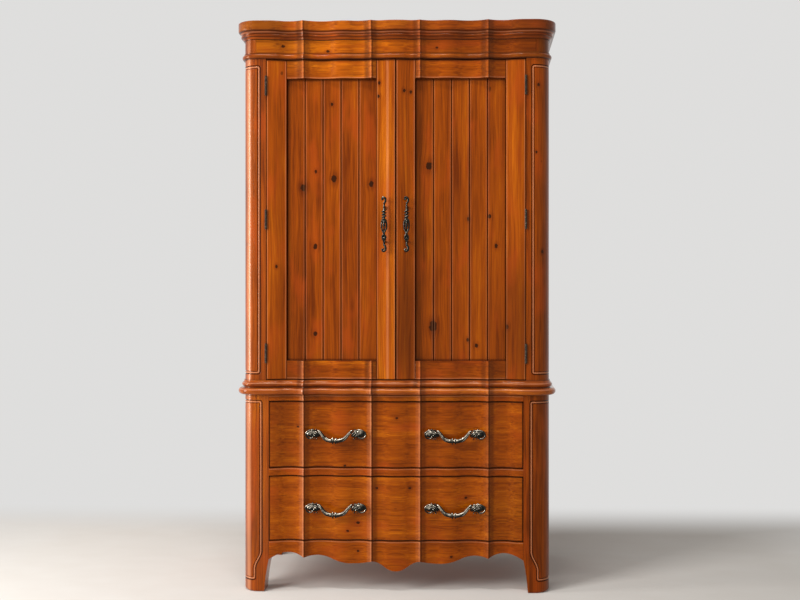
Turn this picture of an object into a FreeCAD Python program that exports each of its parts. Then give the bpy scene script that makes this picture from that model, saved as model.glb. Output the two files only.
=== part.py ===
"""TV armoire: an upper cabinet with two plank doors on a lower chest with two drawers.

Millimetres, +Z up, the front faces -Y, and the origin is at the floor in the centre of the whole object.
The front of every shaped piece follows one plan: a serpentine line with four forward ridges.
"""
import FreeCAD, Part
import Sketcher
import math
import os
import re

DOC = FreeCAD.newDocument("tv_armoire")
SHEET = DOC.addObject("Spreadsheet::Sheet", "dim")

# Driving dimensions. "back" is a distance behind the plane of the forward ridges.
DIMENSIONS = {
    # case
    "body_width": 1148, "case_depth": 585, "total_height": 2130, "corner_radius": 55,
    "cap_overhang": 25, "bead_overhang": 10, "cove_overhang": 20, "floor_overhang": 12,
    "hardware_reach": 32,
    # plan of the front: widths from the centre outwards, then from the rounded corner inwards
    "bow_half": 45, "bow_back": 6, "bow_sag": 6,
    "centre_hollow_width": 46, "centre_hollow_sag": 4.6,
    "inner_hollow_width": 72, "inner_hollow_back": 11.3, "inner_hollow_sag": 6.8,
    "bump_width": 73, "bump_back": 14.1, "bump_sag": 4.6, "outer_hollow_sag": 11.7,
    "corner_flat": 39, "corner_sweep_width": 50, "corner_sweep_sag": 2.4,
    "side_hollow_width": 85, "side_hollow_back": 9.5, "side_hollow_sag": 10.7,
    # heights of the storeys
    "chest_height": 735, "chest_top_thick": 27, "floor_thick": 29,
    "frieze_height": 103, "bead_height": 24, "cove_height": 30, "cap_thick": 37,
    "bullnose_radius": 12, "bead_radius": 9, "cap_ease": 6,
    # frame and boards
    "front_thick": 44, "post_depth": 75, "upper_post_width": 88, "lower_post_width": 98.5,
    "rear_post_width": 50, "rear_post_depth": 45, "panel_thick": 20, "panel_inset": 6,
    "back_thick": 8, "board_thick": 22, "frieze_thick": 60, "return_thick": 20,
    "component_bay": 252, "tv_bay": 613, "shelf_gap": 1,
    "pin_radius": 3, "pin_length": 20, "pin_depth": 10, "pin_inset": 60, "pin_pitch": 64,
    "cable_hole_radius": 30, "cable_hole_rise": 85,
    # routed bead on the posts
    "groove_width": 3, "groove_depth": 3, "groove_half_pitch": 6, "groove_side_inset": 60,
    "upper_groove_inset": 62, "upper_groove_foot": 27, "upper_groove_head": 30,
    "lower_groove_inset": 69, "lower_groove_foot": 44, "lower_groove_head": 26,
    # feet and apron
    "foot_height": 120, "foot_taper": 17, "foot_sag": 5, "panel_rise": 30,
    "apron_top": 190, "divider_thick": 30, "top_rail_height": 24, "top_drawer_room": 249,
    "arch_sag": 21, "ridge_rise": 6,
    "small_arch_width": 100, "small_arch_rise": 2, "small_arch_sag": 9,
    "lobe_sag": 14, "lobe_drop": 7, "scroll_sag": 4,
    "pendant_half": 43, "pendant_drop": 28, "pendant_sag": 15,
    # doors
    "door_gap": 2, "door_seam": 3, "outer_stile": 73.5, "inner_stile": 71, "door_rail": 70,
    "plank_recess": 30, "plank_thick": 12, "plank_tongue": 8, "vee_depth": 4,
    "stop_strip": 20, "stop_gap": 0.3,
    # hinges
    "knuckle_wall": 2, "knuckle_height": 68, "knuckle_gap": 0.3, "hinge_pin_radius": 2.45,
    "hinge_pin_clearance": 0.05, "leaf_thick": 1.8, "leaf_depth": 34, "hinge_end": 98,
    "pin_head_lip": 1.15, "pin_head_height": 3,
    # drawers
    "drawer_gap": 2, "side_thick": 14, "drawer_rear_gap": 4, "drawer_bottom_thick": 6,
    "bottom_groove": 7, "bottom_rise": 12, "side_top_drop": 10, "side_bottom_rise": 4,
    "back_drop": 12, "runner_thick": 30, "runner_reach": 24, "guide_height": 28,
    "kicker_gap": 2, "stop_block": 22,
    # cast pulls and handles
    "pull_offset": 222, "pull_bar_half": 68, "pull_bar_radius": 5.5, "pull_drop": 21,
    "pull_axis_reach": 22, "leaf_offset": 81, "leaf_half": 32, "leaf_rise": 18, "leaf_stand": 7,
    "collar_radius": 9.5, "collar_width": 14, "pull_foot_radius": 6,
    "handle_offset": 42, "handle_rise": 580, "handle_length": 208, "handle_radius": 12,
    "handle_foot_radius": 5, "handle_foot_pitch": 128,
    "screw_radius": 2, "screw_clearance": 0.1, "screw_head_radius": 4.5, "screw_head_thick": 3,
    "screw_pitch": 128, "screw_length": 40,
}
PLANK_COUNT = 5
PIN_ROWS = 5
for row, (alias, size) in enumerate(DIMENSIONS.items(), start=1):
    SHEET.set(f"A{row}", alias)
    SHEET.set(f"B{row}", str(size))
    SHEET.setAlias(f"B{row}", alias)
DOC.recompute()

ALIAS = re.compile(r"\b([a-z]+(?:_[a-z]+)+)\b")
NODES = {}

# Planes of the case, written once as expressions.
FRONT = "((hardware_reach - case_depth)/2)"
BACK = "((hardware_reach + case_depth)/2)"
BODY = "(body_width/2)"
SHAPED_BACK = f"({FRONT} + front_thick)"
POST_BACK = f"({FRONT} + post_depth)"
REAR_POST = f"({BACK} - rear_post_depth)"
REAR_POST_IN = f"({BODY} - rear_post_width)"
BACK_PANEL = f"({BACK} - back_thick)"
PANEL_OUT = f"({BODY} - panel_inset)"
PANEL_IN = f"({PANEL_OUT} - panel_thick)"
UPPER_POST_IN = f"({BODY} - upper_post_width)"
LOWER_POST_IN = f"({BODY} - lower_post_width)"
CHEST_TOP = "(chest_height + chest_top_thick)"
CASE_FLOOR = f"({CHEST_TOP} + floor_thick)"
CAP_UNDER = "(total_height - cap_thick)"
COVE_UNDER = f"({CAP_UNDER} - cove_height)"
BEAD_UNDER = f"({CAP_UNDER} - frieze_height)"
DRAWER_HEAD = "(chest_height - top_rail_height)"
DIVIDER_TOP = f"({DRAWER_HEAD} - top_drawer_room)"
DIVIDER_UNDER = f"({DIVIDER_TOP} - divider_thick)"
PANEL_LOW = "(foot_height + panel_rise)"
TV_SHELF_TOP = f"({CASE_FLOOR} + component_bay + board_thick)"
SHELF_UNDER = f"({TV_SHELF_TOP} + tv_bay)"
CABLE_HOLE = f"({TV_SHELF_TOP} + cable_hole_rise)"
ROUND_START = f"({BODY} - corner_radius)"
FLAT_START = f"({ROUND_START} - corner_flat)"
SIDE_HOLLOW_END = f"({FLAT_START} - corner_sweep_width)"
OUTER_RIDGE = f"({SIDE_HOLLOW_END} - side_hollow_width)"
INNER_RIDGE = "(bow_half + centre_hollow_width)"
INNER_HOLLOW_END = f"({INNER_RIDGE} + inner_hollow_width)"
BUMP_END = f"({INNER_HOLLOW_END} + bump_width)"
DOOR_LOW = f"({CASE_FLOOR} + door_gap)"
DOOR_HIGH = f"({BEAD_UNDER} - door_gap)"
DOOR_OUT = f"({UPPER_POST_IN} - door_gap)"
DOOR_IN = "(door_seam/2)"
PLANKS_OUT = f"({DOOR_OUT} - outer_stile)"
PLANKS_IN = f"({DOOR_IN} + inner_stile)"
PLANK_FACE = f"({FRONT} + plank_recess)"
HINGE_BORE = "(hinge_pin_radius + hinge_pin_clearance)"
KNUCKLE = f"({HINGE_BORE} + knuckle_wall)"
HINGE_X = f"(-{UPPER_POST_IN} + door_gap/2)"
HINGE_Y = f"({FRONT} - {KNUCKLE} - knuckle_gap)"
HANDLE_Z = f"({CASE_FLOOR} + handle_rise)"
DRAWER_OUT = f"({LOWER_POST_IN} - drawer_gap)"
DRAWER_END = f"({REAR_POST} - stop_block - drawer_rear_gap)"
ALONG_Y = FreeCAD.Rotation(FreeCAD.Vector(1, 0, 0), 90)
ALONG_X = FreeCAD.Rotation(FreeCAD.Vector(0, 1, 0), 90)


def tied(text):
    """An expression on the sheet, from plain alias names."""
    return ALIAS.sub(r"dim.\1", str(text))


def size_of(text):
    return float(SHEET.evalExpression(tied(text)))


def bind(thing, **sizes):
    for name, text in sizes.items():
        thing.setExpression(name, tied(text))
    return thing


def place(thing, x=0, y=0, z=0, turn=None):
    if turn is not None:
        thing.Placement = FreeCAD.Placement(FreeCAD.Vector(), turn)
    for axis, text in zip("xyz", (x, y, z)):
        thing.setExpression(f".Placement.Base.{axis}", tied(text))
    return thing


def node(label, thing):
    """Names a finished sub-part; its shape is written to its own file."""
    thing.Label = label
    NODES[label] = thing
    return thing


def box(name, x, y, z):
    """A board between two limits on each axis."""
    board = DOC.addObject("Part::Box", name)
    bind(board, Length=f"({x[1]}) - ({x[0]})", Width=f"({y[1]}) - ({y[0]})", Height=f"({z[1]}) - ({z[0]})")
    return place(board, x[0], y[0], z[0])


def cylinder(name, radius, length, x, y, z, turn=None):
    rod = DOC.addObject("Part::Cylinder", name)
    bind(rod, Radius=radius, Height=length)
    return place(rod, x, y, z, turn)


def cut(name, base, tool):
    result = DOC.addObject("Part::Cut", name)
    result.Base, result.Tool = base, tool
    return result


def common(name, base, tool):
    result = DOC.addObject("Part::Common", name)
    result.Base, result.Tool = base, tool
    return result


def fuse(name, pieces):
    result = DOC.addObject("Part::MultiFuse", name)
    result.Shapes = pieces
    return result


def group(name, pieces):
    """Separate solids that share one node."""
    result = DOC.addObject("Part::Compound", name)
    result.Links = pieces
    return result


def mirrored(name, source):
    result = DOC.addObject("Part::Mirroring", name)
    result.Source = source
    result.Normal = FreeCAD.Vector(1, 0, 0)
    return result


def mirrored_pair(name, left):
    """The left pieces and their mirror images in one node."""
    return group(f"{name}_pair", [left, mirrored(f"{name}_mirrored", left)])


def extruded(name, profile, length, direction=(0, 0, 1)):
    result = DOC.addObject("Part::Extrusion", name)
    result.Base = profile
    result.DirMode = "Custom"
    result.Dir = FreeCAD.Vector(*direction)
    result.Solid = True
    return bind(result, LengthFwd=length)


def measured(sketch, kind, places, text):
    """Adds a measure between places of a sketch and ties it to the sheet."""
    number = sketch.addConstraint(Sketcher.Constraint(kind, *places, size_of(text)))
    return bind(sketch, **{f"Constraints[{number}]": text})


def outline_sketch(name, points, turn=None):
    """A closed sketch, new or given, through points (x, y, sag): sag bends the edge that leaves the point.

    A positive sag bulges to the right of the direction of travel. Every point is tied to the sheet by
    its two distances from the origin, and every bent edge by its radius.
    """
    sketch = DOC.addObject("Sketcher::SketchObject", name) if isinstance(name, str) else name
    if turn is not None:
        sketch.Placement = FreeCAD.Placement(FreeCAD.Vector(), turn)
    corners = [FreeCAD.Vector(size_of(x), size_of(y), 0) for x, y, _ in points]
    ends = []
    for i, (_, _, sag) in enumerate(points):
        a, b = corners[i], corners[(i + 1) % len(points)]
        if sag == 0:
            sketch.addGeometry(Part.LineSegment(a, b), False)
            ends.append((1, 2))
            continue
        chord = b - a
        right = FreeCAD.Vector(chord.y, -chord.x, 0).normalize()
        middle = (a + b) * 0.5 + right * size_of(sag)
        start, end = (a, b) if size_of(sag) > 0 else (b, a)
        sketch.addGeometry(Part.Arc(start, middle, end), False)
        ends.append((1, 2) if size_of(sag) > 0 else (2, 1))
    for i, (x, y, sag) in enumerate(points):
        after = (i + 1) % len(points)
        first, last = ends[i]
        sketch.addConstraint(Sketcher.Constraint("Coincident", i, last, after, ends[after][0]))
        measured(sketch, "DistanceX", (-1, 1, i, first), x)
        measured(sketch, "DistanceY", (-1, 1, i, first), y)
        if sag != 0:
            x_next, y_next, _ = points[after]
            chord = f"sqrt(pow(({x_next}) - ({x}); 2) + pow(({y_next}) - ({y}); 2))"
            measured(sketch, "Radius", (i,), f"pow({chord}; 2)/(8*abs({sag})) + abs({sag})/2")
    return sketch


def body_sketch(body, name):
    """An empty sketch on the body's own front plane."""
    sketch = body.newObject("Sketcher::SketchObject", name)
    front_plane = next(feature for feature in body.Origin.OriginFeatures if feature.Role == "XZ_Plane")
    sketch.AttachmentSupport = (front_plane, [""])
    sketch.MapMode = "FlatFace"
    return sketch


def plan_points(reach="0"):
    """The case seen from above, round from the back left corner, standing out by reach at front and sides."""
    front = f"({FRONT} - ({reach}))"
    side = f"({BODY} + ({reach}))"
    round_end = f"({FRONT} + corner_radius)"
    round_sag = f"(corner_radius + ({reach}))*(1 - sqrt(2)/2)"
    # distance from the centre, distance behind the ridges, bend of the stretch beyond (+ is forward)
    half = [
        ("bow_half", "bow_back", "-centre_hollow_sag"),
        (INNER_RIDGE, "0", "-inner_hollow_sag"),
        (INNER_HOLLOW_END, "inner_hollow_back", "bump_sag"),
        (BUMP_END, "bump_back", "-outer_hollow_sag"),
        (OUTER_RIDGE, "0", "-side_hollow_sag"),
        (SIDE_HOLLOW_END, "side_hollow_back", "corner_sweep_sag"),
        (FLAT_START, "0", 0),
        (ROUND_START, "0", round_sag),
    ]
    bends = ["bow_sag"] + [bend for _, _, bend in half]
    left = [(f"-({x})", f"{front} + ({back})", bends[i]) for i, (x, back, _) in enumerate(half)]
    right = [(x, f"{front} + ({back})", bend) for x, back, bend in half]
    start = [(f"-{side}", BACK, 0), (f"-{side}", round_end, round_sag)]
    return start + left[::-1] + right + [(side, round_end, 0), (side, BACK, 0)]


# ---------------------------------------------------------------- the plan and the boards cut to it
plan = outline_sketch("case_plan", plan_points())
prism = extruded("case_prism", plan, "total_height")


def moulded_board(name, reach, z_low, z_high):
    """A full board that follows the plan, standing out by reach at the front and the sides."""
    edge = outline_sketch(f"{name}_plan", plan_points(reach))
    return place(extruded(f"{name}_board", edge, f"({z_high}) - ({z_low})"), 0, 0, z_low)


def moulding(name, profile):
    """A ruled loft through the plan at several heights: profile lists (reach, height)."""
    sections = []
    for i, (reach, height) in enumerate(profile):
        sections.append(place(outline_sketch(f"{name}_plan_{i}", plan_points(reach)), 0, 0, height))
    loft = DOC.addObject("Part::Loft", name)
    loft.Sections = sections
    loft.Solid = True
    loft.Ruled = True
    return loft


def eased(name, board, radius, heights):
    """Rounds the front and side edges of a board that lie at the given heights."""
    DOC.recompute()
    levels = [size_of(height) for height in heights]
    back = size_of(BACK)
    edges = []
    for number, edge in enumerate(board.Shape.Edges, start=1):
        ends = [vertex.Point for vertex in edge.Vertexes]
        level = any(all(math.isclose(p.z, z, abs_tol=0.001) for p in ends) for z in levels)
        if level and not all(math.isclose(p.y, back, abs_tol=0.001) for p in ends):
            edges.append((number, size_of(radius), size_of(radius)))
    result = DOC.addObject("Part::Fillet", name)
    result.Base = board
    result.Edges = edges
    return result


def shaped(name, x, z, depth=SHAPED_BACK):
    """A board cut to the plan on its front, flat at the back."""
    return common(name, box(f"{name}_blank", x, (FRONT, depth), z), prism)


def both_sides(name, x, y, z):
    """Two equal boards, one on each side of the case; x is measured from the centre."""
    right = box(f"{name}_right", x, y, z)
    left = box(f"{name}_left", (f"-({x[1]})", f"-({x[0]})"), y, z)
    return group(name, [left, right])


WHOLE = (f"-{BODY}", BODY)

# ---------------------------------------------------------------- cornice
cap = moulded_board("cap", "cap_overhang", CAP_UNDER, "total_height")
node("cornice_cap", eased("cap_eased", cap, "cap_ease", (CAP_UNDER, "total_height")))

# share of the overhang, share of the height
COVE_PROFILE = [(0.2, 0.0), (0.3, 0.3), (0.6, 0.7), (1.0, 1.0)]
cove = moulding("cove", [
    (f"{share}*cove_overhang", f"{COVE_UNDER} + {rise}*cove_height") for share, rise in COVE_PROFILE
])
node("cornice_cove", cut("cove_strip", cove, prism))

frieze_back = f"({FRONT} + frieze_thick)"
node("frieze_front", shaped("frieze", WHOLE, (BEAD_UNDER, CAP_UNDER), frieze_back))
return_x = (f"{BODY} - return_thick", BODY)
node("frieze_returns", both_sides("returns", return_x, (frieze_back, REAR_POST), (BEAD_UNDER, CAP_UNDER)))

bead_top = f"({BEAD_UNDER} + bead_height)"
bead_board = moulded_board("bead", "bead_overhang", BEAD_UNDER, bead_top)
bead = eased("bead_round", bead_board, "bead_radius", (BEAD_UNDER, bead_top))
node("astragal_bead", cut("bead_strip", bead, prism))


# ---------------------------------------------------------------- posts
groove_core = moulded_board("groove_core", "-groove_depth", "0", "total_height")


def routed_line(name, inset, low, high, shift):
    """A narrow groove round the left front corner: down the front and side faces, across at both ends."""
    reach, side_reach = f"({inset} + {shift})", f"(groove_side_inset + {shift})"
    outer_x, outer_y = f"(-{BODY} - post_depth)", f"({FRONT} - post_depth)"
    wide, half = "groove_width", "groove_width/2"
    outer = box(
        f"{name}_outer",
        (outer_x, f"-{BODY} + {reach} + {half}"),
        (outer_y, f"{FRONT} + {side_reach} + {half}"),
        (f"{low} - {shift} - {half}", f"{high} + {shift} + {half}"),
    )
    inner = box(
        f"{name}_inner",
        (outer_x, f"-{BODY} + {reach} - {half}"),
        (outer_y, f"{FRONT} + {side_reach} - {half}"),
        (f"{low} - {shift} - {half} + {wide}", f"{high} + {shift} + {half} - {wide}"),
    )
    return cut(name, cut(f"{name}_frame", outer, inner), groove_core)


def routed_post(storey, inner, z):
    """The left front post of a storey with its two quirks, one on each side of the bead."""
    name = f"{storey}_post"
    inset = f"{storey}_groove_inset"
    low, high = f"({z[0]} + {storey}_groove_foot)", f"({z[1]} - {storey}_groove_head)"
    post = shaped(f"{name}_plain", (f"-{BODY}", f"-{inner}"), z, POST_BACK)
    quirks = [
        routed_line(f"{name}_outer_quirk", inset, low, high, "groove_half_pitch"),
        routed_line(f"{name}_inner_quirk", inset, low, high, "(-groove_half_pitch)"),
    ]
    return cut(f"{name}_routed", post, fuse(f"{name}_quirks", quirks))


upper_post = routed_post("upper", UPPER_POST_IN, (CASE_FLOOR, BEAD_UNDER))
lower_post = routed_post("lower", LOWER_POST_IN, ("0", "chest_height"))
taper = outline_sketch("foot_taper_profile", [
    (f"-{LOWER_POST_IN}", "foot_height", "-foot_sag"),
    (f"-{LOWER_POST_IN} - foot_taper", "0", 0),
    (f"-{LOWER_POST_IN}", "0", 0),
], ALONG_Y)
place(taper, 0, FRONT, 0)
lower_post = cut("lower_post_foot", lower_post, extruded("foot_taper_cut", taper, "post_depth", (0, 1, 0)))
node("left_lower_post", lower_post)
node("right_lower_post", mirrored("lower_post_right", lower_post))

# ---------------------------------------------------------------- hinges
hinge_heights = [f"({DOOR_LOW} + hinge_end)", f"(({DOOR_LOW} + {DOOR_HIGH})/2)", f"({DOOR_HIGH} - hinge_end)"]
third = "(knuckle_height/3)"
pin_head = "(hinge_pin_radius + pin_head_lip)"
post_leaf_x = (f"-{UPPER_POST_IN} - leaf_thick", f"-{UPPER_POST_IN}")
door_leaf_x = (f"-{DOOR_OUT}", f"-{DOOR_OUT} + leaf_thick")


def knuckle(name, leaf_x, low, high):
    """One barrel of a butt hinge with the tongue that joins it to its leaf, bored for the pin."""
    barrel = cylinder(f"{name}_barrel", KNUCKLE, f"{high} - {low}", HINGE_X, HINGE_Y, low)
    tongue = box(f"{name}_tongue", leaf_x, (HINGE_Y, FRONT), (low, high))
    bore = cylinder(f"{name}_bore", HINGE_BORE, f"{high} - {low}", HINGE_X, HINGE_Y, low)
    return cut(name, fuse(f"{name}_solid", [barrel, tongue]), bore)


case_leaves, door_leaves, pins = [], [], []
post_mortises, stile_mortises = [], []
for i, height in enumerate(hinge_heights):
    low, high = f"({height} - knuckle_height/2)", f"({height} + knuckle_height/2)"
    leaf_y = (FRONT, f"{FRONT} + leaf_depth")
    post_mortises.append(box(f"post_mortise_{i}", post_leaf_x, leaf_y, (low, high)))
    stile_mortises.append(box(f"stile_mortise_{i}", door_leaf_x, leaf_y, (low, high)))
    case_parts = [
        box(f"case_leaf_{i}", post_leaf_x, leaf_y, (low, high)),
        knuckle(f"case_knuckle_low_{i}", post_leaf_x, low, f"({low} + {third} - knuckle_gap)"),
        knuckle(f"case_knuckle_high_{i}", post_leaf_x, f"({high} - {third} + knuckle_gap)", high),
    ]
    case_leaves.append(fuse(f"case_hinge_{i}", case_parts))
    door_parts = [
        box(f"door_leaf_{i}", door_leaf_x, leaf_y, (low, high)),
        knuckle(f"door_knuckle_{i}", door_leaf_x, f"({low} + {third})", f"({high} - {third})"),
    ]
    door_leaves.append(fuse(f"door_hinge_{i}", door_parts))
    shank = cylinder(f"pin_shank_{i}", "hinge_pin_radius", "knuckle_height", HINGE_X, HINGE_Y, low)
    head = cylinder(f"pin_head_{i}", pin_head, "pin_head_height", HINGE_X, HINGE_Y, high)
    tip = cylinder(f"pin_tip_{i}", pin_head, "pin_head_height", HINGE_X, HINGE_Y, f"{low} - pin_head_height")
    pins.append(fuse(f"hinge_pin_{i}", [shank, head, tip]))

node("case_hinge_leaves", mirrored_pair("case_leaves", group("left_case_leaves", case_leaves)))
node("hinge_pins", mirrored_pair("pins", group("left_pins", pins)))

upper_post = cut("upper_post_mortised", upper_post, fuse("post_mortises", post_mortises))
node("left_upper_post", upper_post)
node("right_upper_post", mirrored("upper_post_right", upper_post))

# ---------------------------------------------------------------- upper case
side_y = (POST_BACK, REAR_POST)
upper_side = box("upper_side", (f"-{PANEL_OUT}", f"-{PANEL_IN}"), side_y, (CASE_FLOOR, BEAD_UNDER))
pin_x = f"(-{PANEL_IN} - pin_depth)"
pin_z = f"({SHELF_UNDER} - pin_radius)"
pin_bores, shelf_pins = [], []
for column, y in enumerate((f"({POST_BACK} + pin_inset)", f"({REAR_POST} - pin_inset)")):
    shelf_pins.append(cylinder(f"shelf_pin_{column}", "pin_radius", "pin_length", pin_x, y, pin_z, ALONG_X))
    for row in range(PIN_ROWS):
        z = f"{pin_z} + {row - PIN_ROWS // 2}*pin_pitch"
        bore = cylinder(f"pin_bore_{row}_{column}", "pin_radius", "pin_depth", pin_x, y, z, ALONG_X)
        pin_bores.append(bore)
upper_side = cut("upper_side_bored", upper_side, fuse("pin_bores", pin_bores))
node("left_upper_side", upper_side)
node("right_upper_side", mirrored("upper_side_right", upper_side))

node("shelf_pins", mirrored_pair("shelf_pins", group("left_shelf_pins", shelf_pins)))

shelf_x = (f"-{PANEL_IN} + shelf_gap", f"{PANEL_IN} - shelf_gap")
node("adjustable_shelf", box("upper_shelf", shelf_x, side_y, (SHELF_UNDER, f"{SHELF_UNDER} + board_thick")))
tv_shelf_z = (f"{TV_SHELF_TOP} - board_thick", TV_SHELF_TOP)
node("tv_shelf", box("fixed_shelf", (f"-{PANEL_IN}", PANEL_IN), side_y, tv_shelf_z))
between_rear = (f"-{REAR_POST_IN}", REAR_POST_IN)
top_z = (BEAD_UNDER, f"{BEAD_UNDER} + board_thick")
node("case_top", box("inner_top", between_rear, (frieze_back, BACK_PANEL), top_z))
rear_y = (REAR_POST, BACK)
node("upper_rear_posts", both_sides("upper_rear", (REAR_POST_IN, BODY), rear_y, (CASE_FLOOR, CAP_UNDER)))
strip_y = (f"{SHAPED_BACK} + stop_gap", f"{SHAPED_BACK} + stop_gap + stop_strip")
strip_x = (f"-{UPPER_POST_IN}", UPPER_POST_IN)
strip_z = (f"{BEAD_UNDER} - stop_strip", BEAD_UNDER)
node("door_stop_strip", box("stop_strip_board", strip_x, strip_y, strip_z))
# share of the overhang, share of the thickness
FLOOR_PROFILE = [(1.0, 0.0), (1.0, 0.35), (0.8, 0.6), (0.3, 0.8), (0.2, 1.0)]
node("cabinet_floor", moulding("floor_board", [
    (f"{share}*floor_overhang", f"{CHEST_TOP} + {rise}*floor_thick") for share, rise in FLOOR_PROFILE
]))

# The back panel is a pad with the cable hole pocketed through it.
back = DOC.addObject("PartDesign::Body", "upper_back")
panel_sketch = body_sketch(back, "back_outline")
outline_sketch(panel_sketch, [
    (f"-{REAR_POST_IN}", CASE_FLOOR, 0),
    (REAR_POST_IN, CASE_FLOOR, 0),
    (REAR_POST_IN, CAP_UNDER, 0),
    (f"-{REAR_POST_IN}", CAP_UNDER, 0),
])
pad = back.newObject("PartDesign::Pad", "back_pad")
pad.Profile = panel_sketch
bind(pad, Length="back_thick")
hole_sketch = body_sketch(back, "cable_hole_circle")
hole_centre = FreeCAD.Vector(0, size_of(CABLE_HOLE), 0)
hole_circle = Part.Circle(hole_centre, FreeCAD.Vector(0, 0, 1), size_of("cable_hole_radius"))
hole_sketch.addGeometry(hole_circle, False)
hole_sketch.addConstraint(Sketcher.Constraint("PointOnObject", 0, 3, -2))
measured(hole_sketch, "DistanceY", (-1, 1, 0, 3), CABLE_HOLE)
measured(hole_sketch, "Radius", (0,), "cable_hole_radius")
pocket = back.newObject("PartDesign::Pocket", "cable_hole")
pocket.Profile = hole_sketch
pocket.Type = "ThroughAll"
pocket.Midplane = True
place(back, 0, BACK, 0)
node("upper_back_panel", back)

# ---------------------------------------------------------------- doors
planks_x = (f"-{PLANKS_OUT}", f"-{PLANKS_IN}")
planks_z = (f"{DOOR_LOW} + door_rail", f"{DOOR_HIGH} - door_rail")
tongue_x = (f"-{PLANKS_OUT} - plank_tongue", f"-{PLANKS_IN} + plank_tongue")
tongue_z = (f"{DOOR_LOW} + door_rail - plank_tongue", f"{DOOR_HIGH} - door_rail + plank_tongue")
plank_y = (PLANK_FACE, f"{PLANK_FACE} + plank_thick")
panel_room = box("panel_room", tongue_x, plank_y, tongue_z)
door_z = (DOOR_LOW, DOOR_HIGH)

outer_stile = shaped("outer_stile_plain", (f"-{DOOR_OUT}", f"-{PLANKS_OUT}"), door_z)
outer_stile = cut("outer_stile_cut", outer_stile, fuse("outer_stile_room", [panel_room] + stile_mortises))
inner_stile = shaped("inner_stile_plain", (f"-{PLANKS_IN}", f"-{DOOR_IN}"), door_z)
top_rail = shaped("door_top_rail_plain", planks_x, (f"{DOOR_HIGH} - door_rail", DOOR_HIGH))
bottom_rail = shaped("door_bottom_rail_plain", planks_x, (DOOR_LOW, f"{DOOR_LOW} + door_rail"))

planks = []
pitch = f"(({planks_x[1]}) - ({planks_x[0]}))/{PLANK_COUNT}"
for i in range(PLANK_COUNT):
    first, last = i == 0, i == PLANK_COUNT - 1
    low = tongue_x[0] if first else f"({planks_x[0]} + {i}*{pitch})"
    high = tongue_x[1] if last else f"({planks_x[0]} + {i + 1}*{pitch})"
    face, rear = plank_y
    vee = f"{face} + vee_depth"
    left_edge = [(low, face, 0)] if first else [(low, vee, 0), (f"{low} + vee_depth", face, 0)]
    right_edge = [(high, face, 0)] if last else [(f"{high} - vee_depth", face, 0), (high, vee, 0)]
    points = [(low, rear, 0)] + left_edge + right_edge + [(high, rear, 0)]
    section = outline_sketch(f"plank_section_{i}", points)
    plank = extruded(f"plank_{i}", section, f"({tongue_z[1]}) - ({tongue_z[0]})")
    planks.append(place(plank, 0, 0, tongue_z[0]))


def foot(name, radius, x, y, z, reach):
    """A round foot from the axis of a pull back into the board, trimmed later by the plan."""
    return cylinder(name, radius, reach, x, f"({y}) + ({reach})", z, ALONG_Y)


# The handle is a turned form of swellings and necks, cast with two feet.
HANDLE_PROFILE = [
    # share of the largest radius, share of half the length
    (0.0, -1.0), (0.6, -0.96), (0.75, -0.9), (0.55, -0.82), (0.3, -0.74), (0.65, -0.58),
    (0.4, -0.42), (0.85, -0.3), (1.0, 0.0), (0.5, 0.28), (0.75, 0.42), (0.35, 0.6),
    (0.4, 0.72), (0.8, 0.86), (0.5, 0.97), (0.0, 1.0),
]
handle_y = f"({FRONT} - hardware_reach + handle_radius)"
turned = DOC.addObject("PartDesign::Body", "turned_handle")
handle_sketch = body_sketch(turned, "handle_profile")
outline_sketch(handle_sketch, [
    (f"{share}*handle_radius", f"{HANDLE_Z} + {along}*handle_length/2", 0) for share, along in HANDLE_PROFILE
])
spin = turned.newObject("PartDesign::Revolution", "handle_turning")
spin.Profile = handle_sketch
spin.ReferenceAxis = (handle_sketch, ["V_Axis"])
spin.Angle = 360
place(turned, "-handle_offset", handle_y, 0)

foot_reach = f"({SHAPED_BACK} - {handle_y})"
feet, handle_screws, handle_bores = [], [], []


def screw(name, x, z, bore_list, screw_list):
    """A round-head screw from behind a shaped board into the foot of a pull, and the bore it needs."""
    head_y = f"({SHAPED_BACK} + screw_head_thick)"
    head = cylinder(f"{name}_head", "screw_head_radius", "screw_head_thick", x, head_y, z, ALONG_Y)
    shank = cylinder(f"{name}_shank", "screw_radius", "screw_length", x, SHAPED_BACK, z, ALONG_Y)
    screw_list.append(fuse(name, [head, shank]))
    radius, length = "(screw_radius + screw_clearance)", "(screw_length + screw_clearance)"
    bore_list.append(cylinder(f"{name}_bore", radius, length, x, SHAPED_BACK, z, ALONG_Y))


for i, side in enumerate(("-", "")):
    z = f"({HANDLE_Z} + {side}handle_foot_pitch/2)"
    feet.append(foot(f"handle_foot_{i}", "handle_foot_radius", "-handle_offset", handle_y, z, foot_reach))
    screw(f"handle_screw_{i}", "-handle_offset", z, handle_bores, handle_screws)
handle_bore = fuse("handle_bores", handle_bores)
handle_cast = fuse("handle_cast", [turned] + feet)
handle = cut("handle_trimmed", handle_cast, fuse("handle_away", [prism, handle_bore]))

left_door = {
    "outer_stile": outer_stile,
    "inner_stile": cut("inner_stile_cut", inner_stile, fuse("inner_stile_room", [panel_room, handle_bore])),
    "top_rail": cut("top_rail_cut", top_rail, panel_room),
    "bottom_rail": cut("bottom_rail_cut", bottom_rail, panel_room),
    "planks": group("plank_group", planks),
    "hinge_leaves": group("door_leaf_group", door_leaves),
    "handle": handle,
    "handle_screws": group("handle_screw_group", handle_screws),
}
for piece, thing in left_door.items():
    node(f"left_door_{piece}", thing)
    node(f"right_door_{piece}", mirrored(f"right_{piece}", thing))

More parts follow.
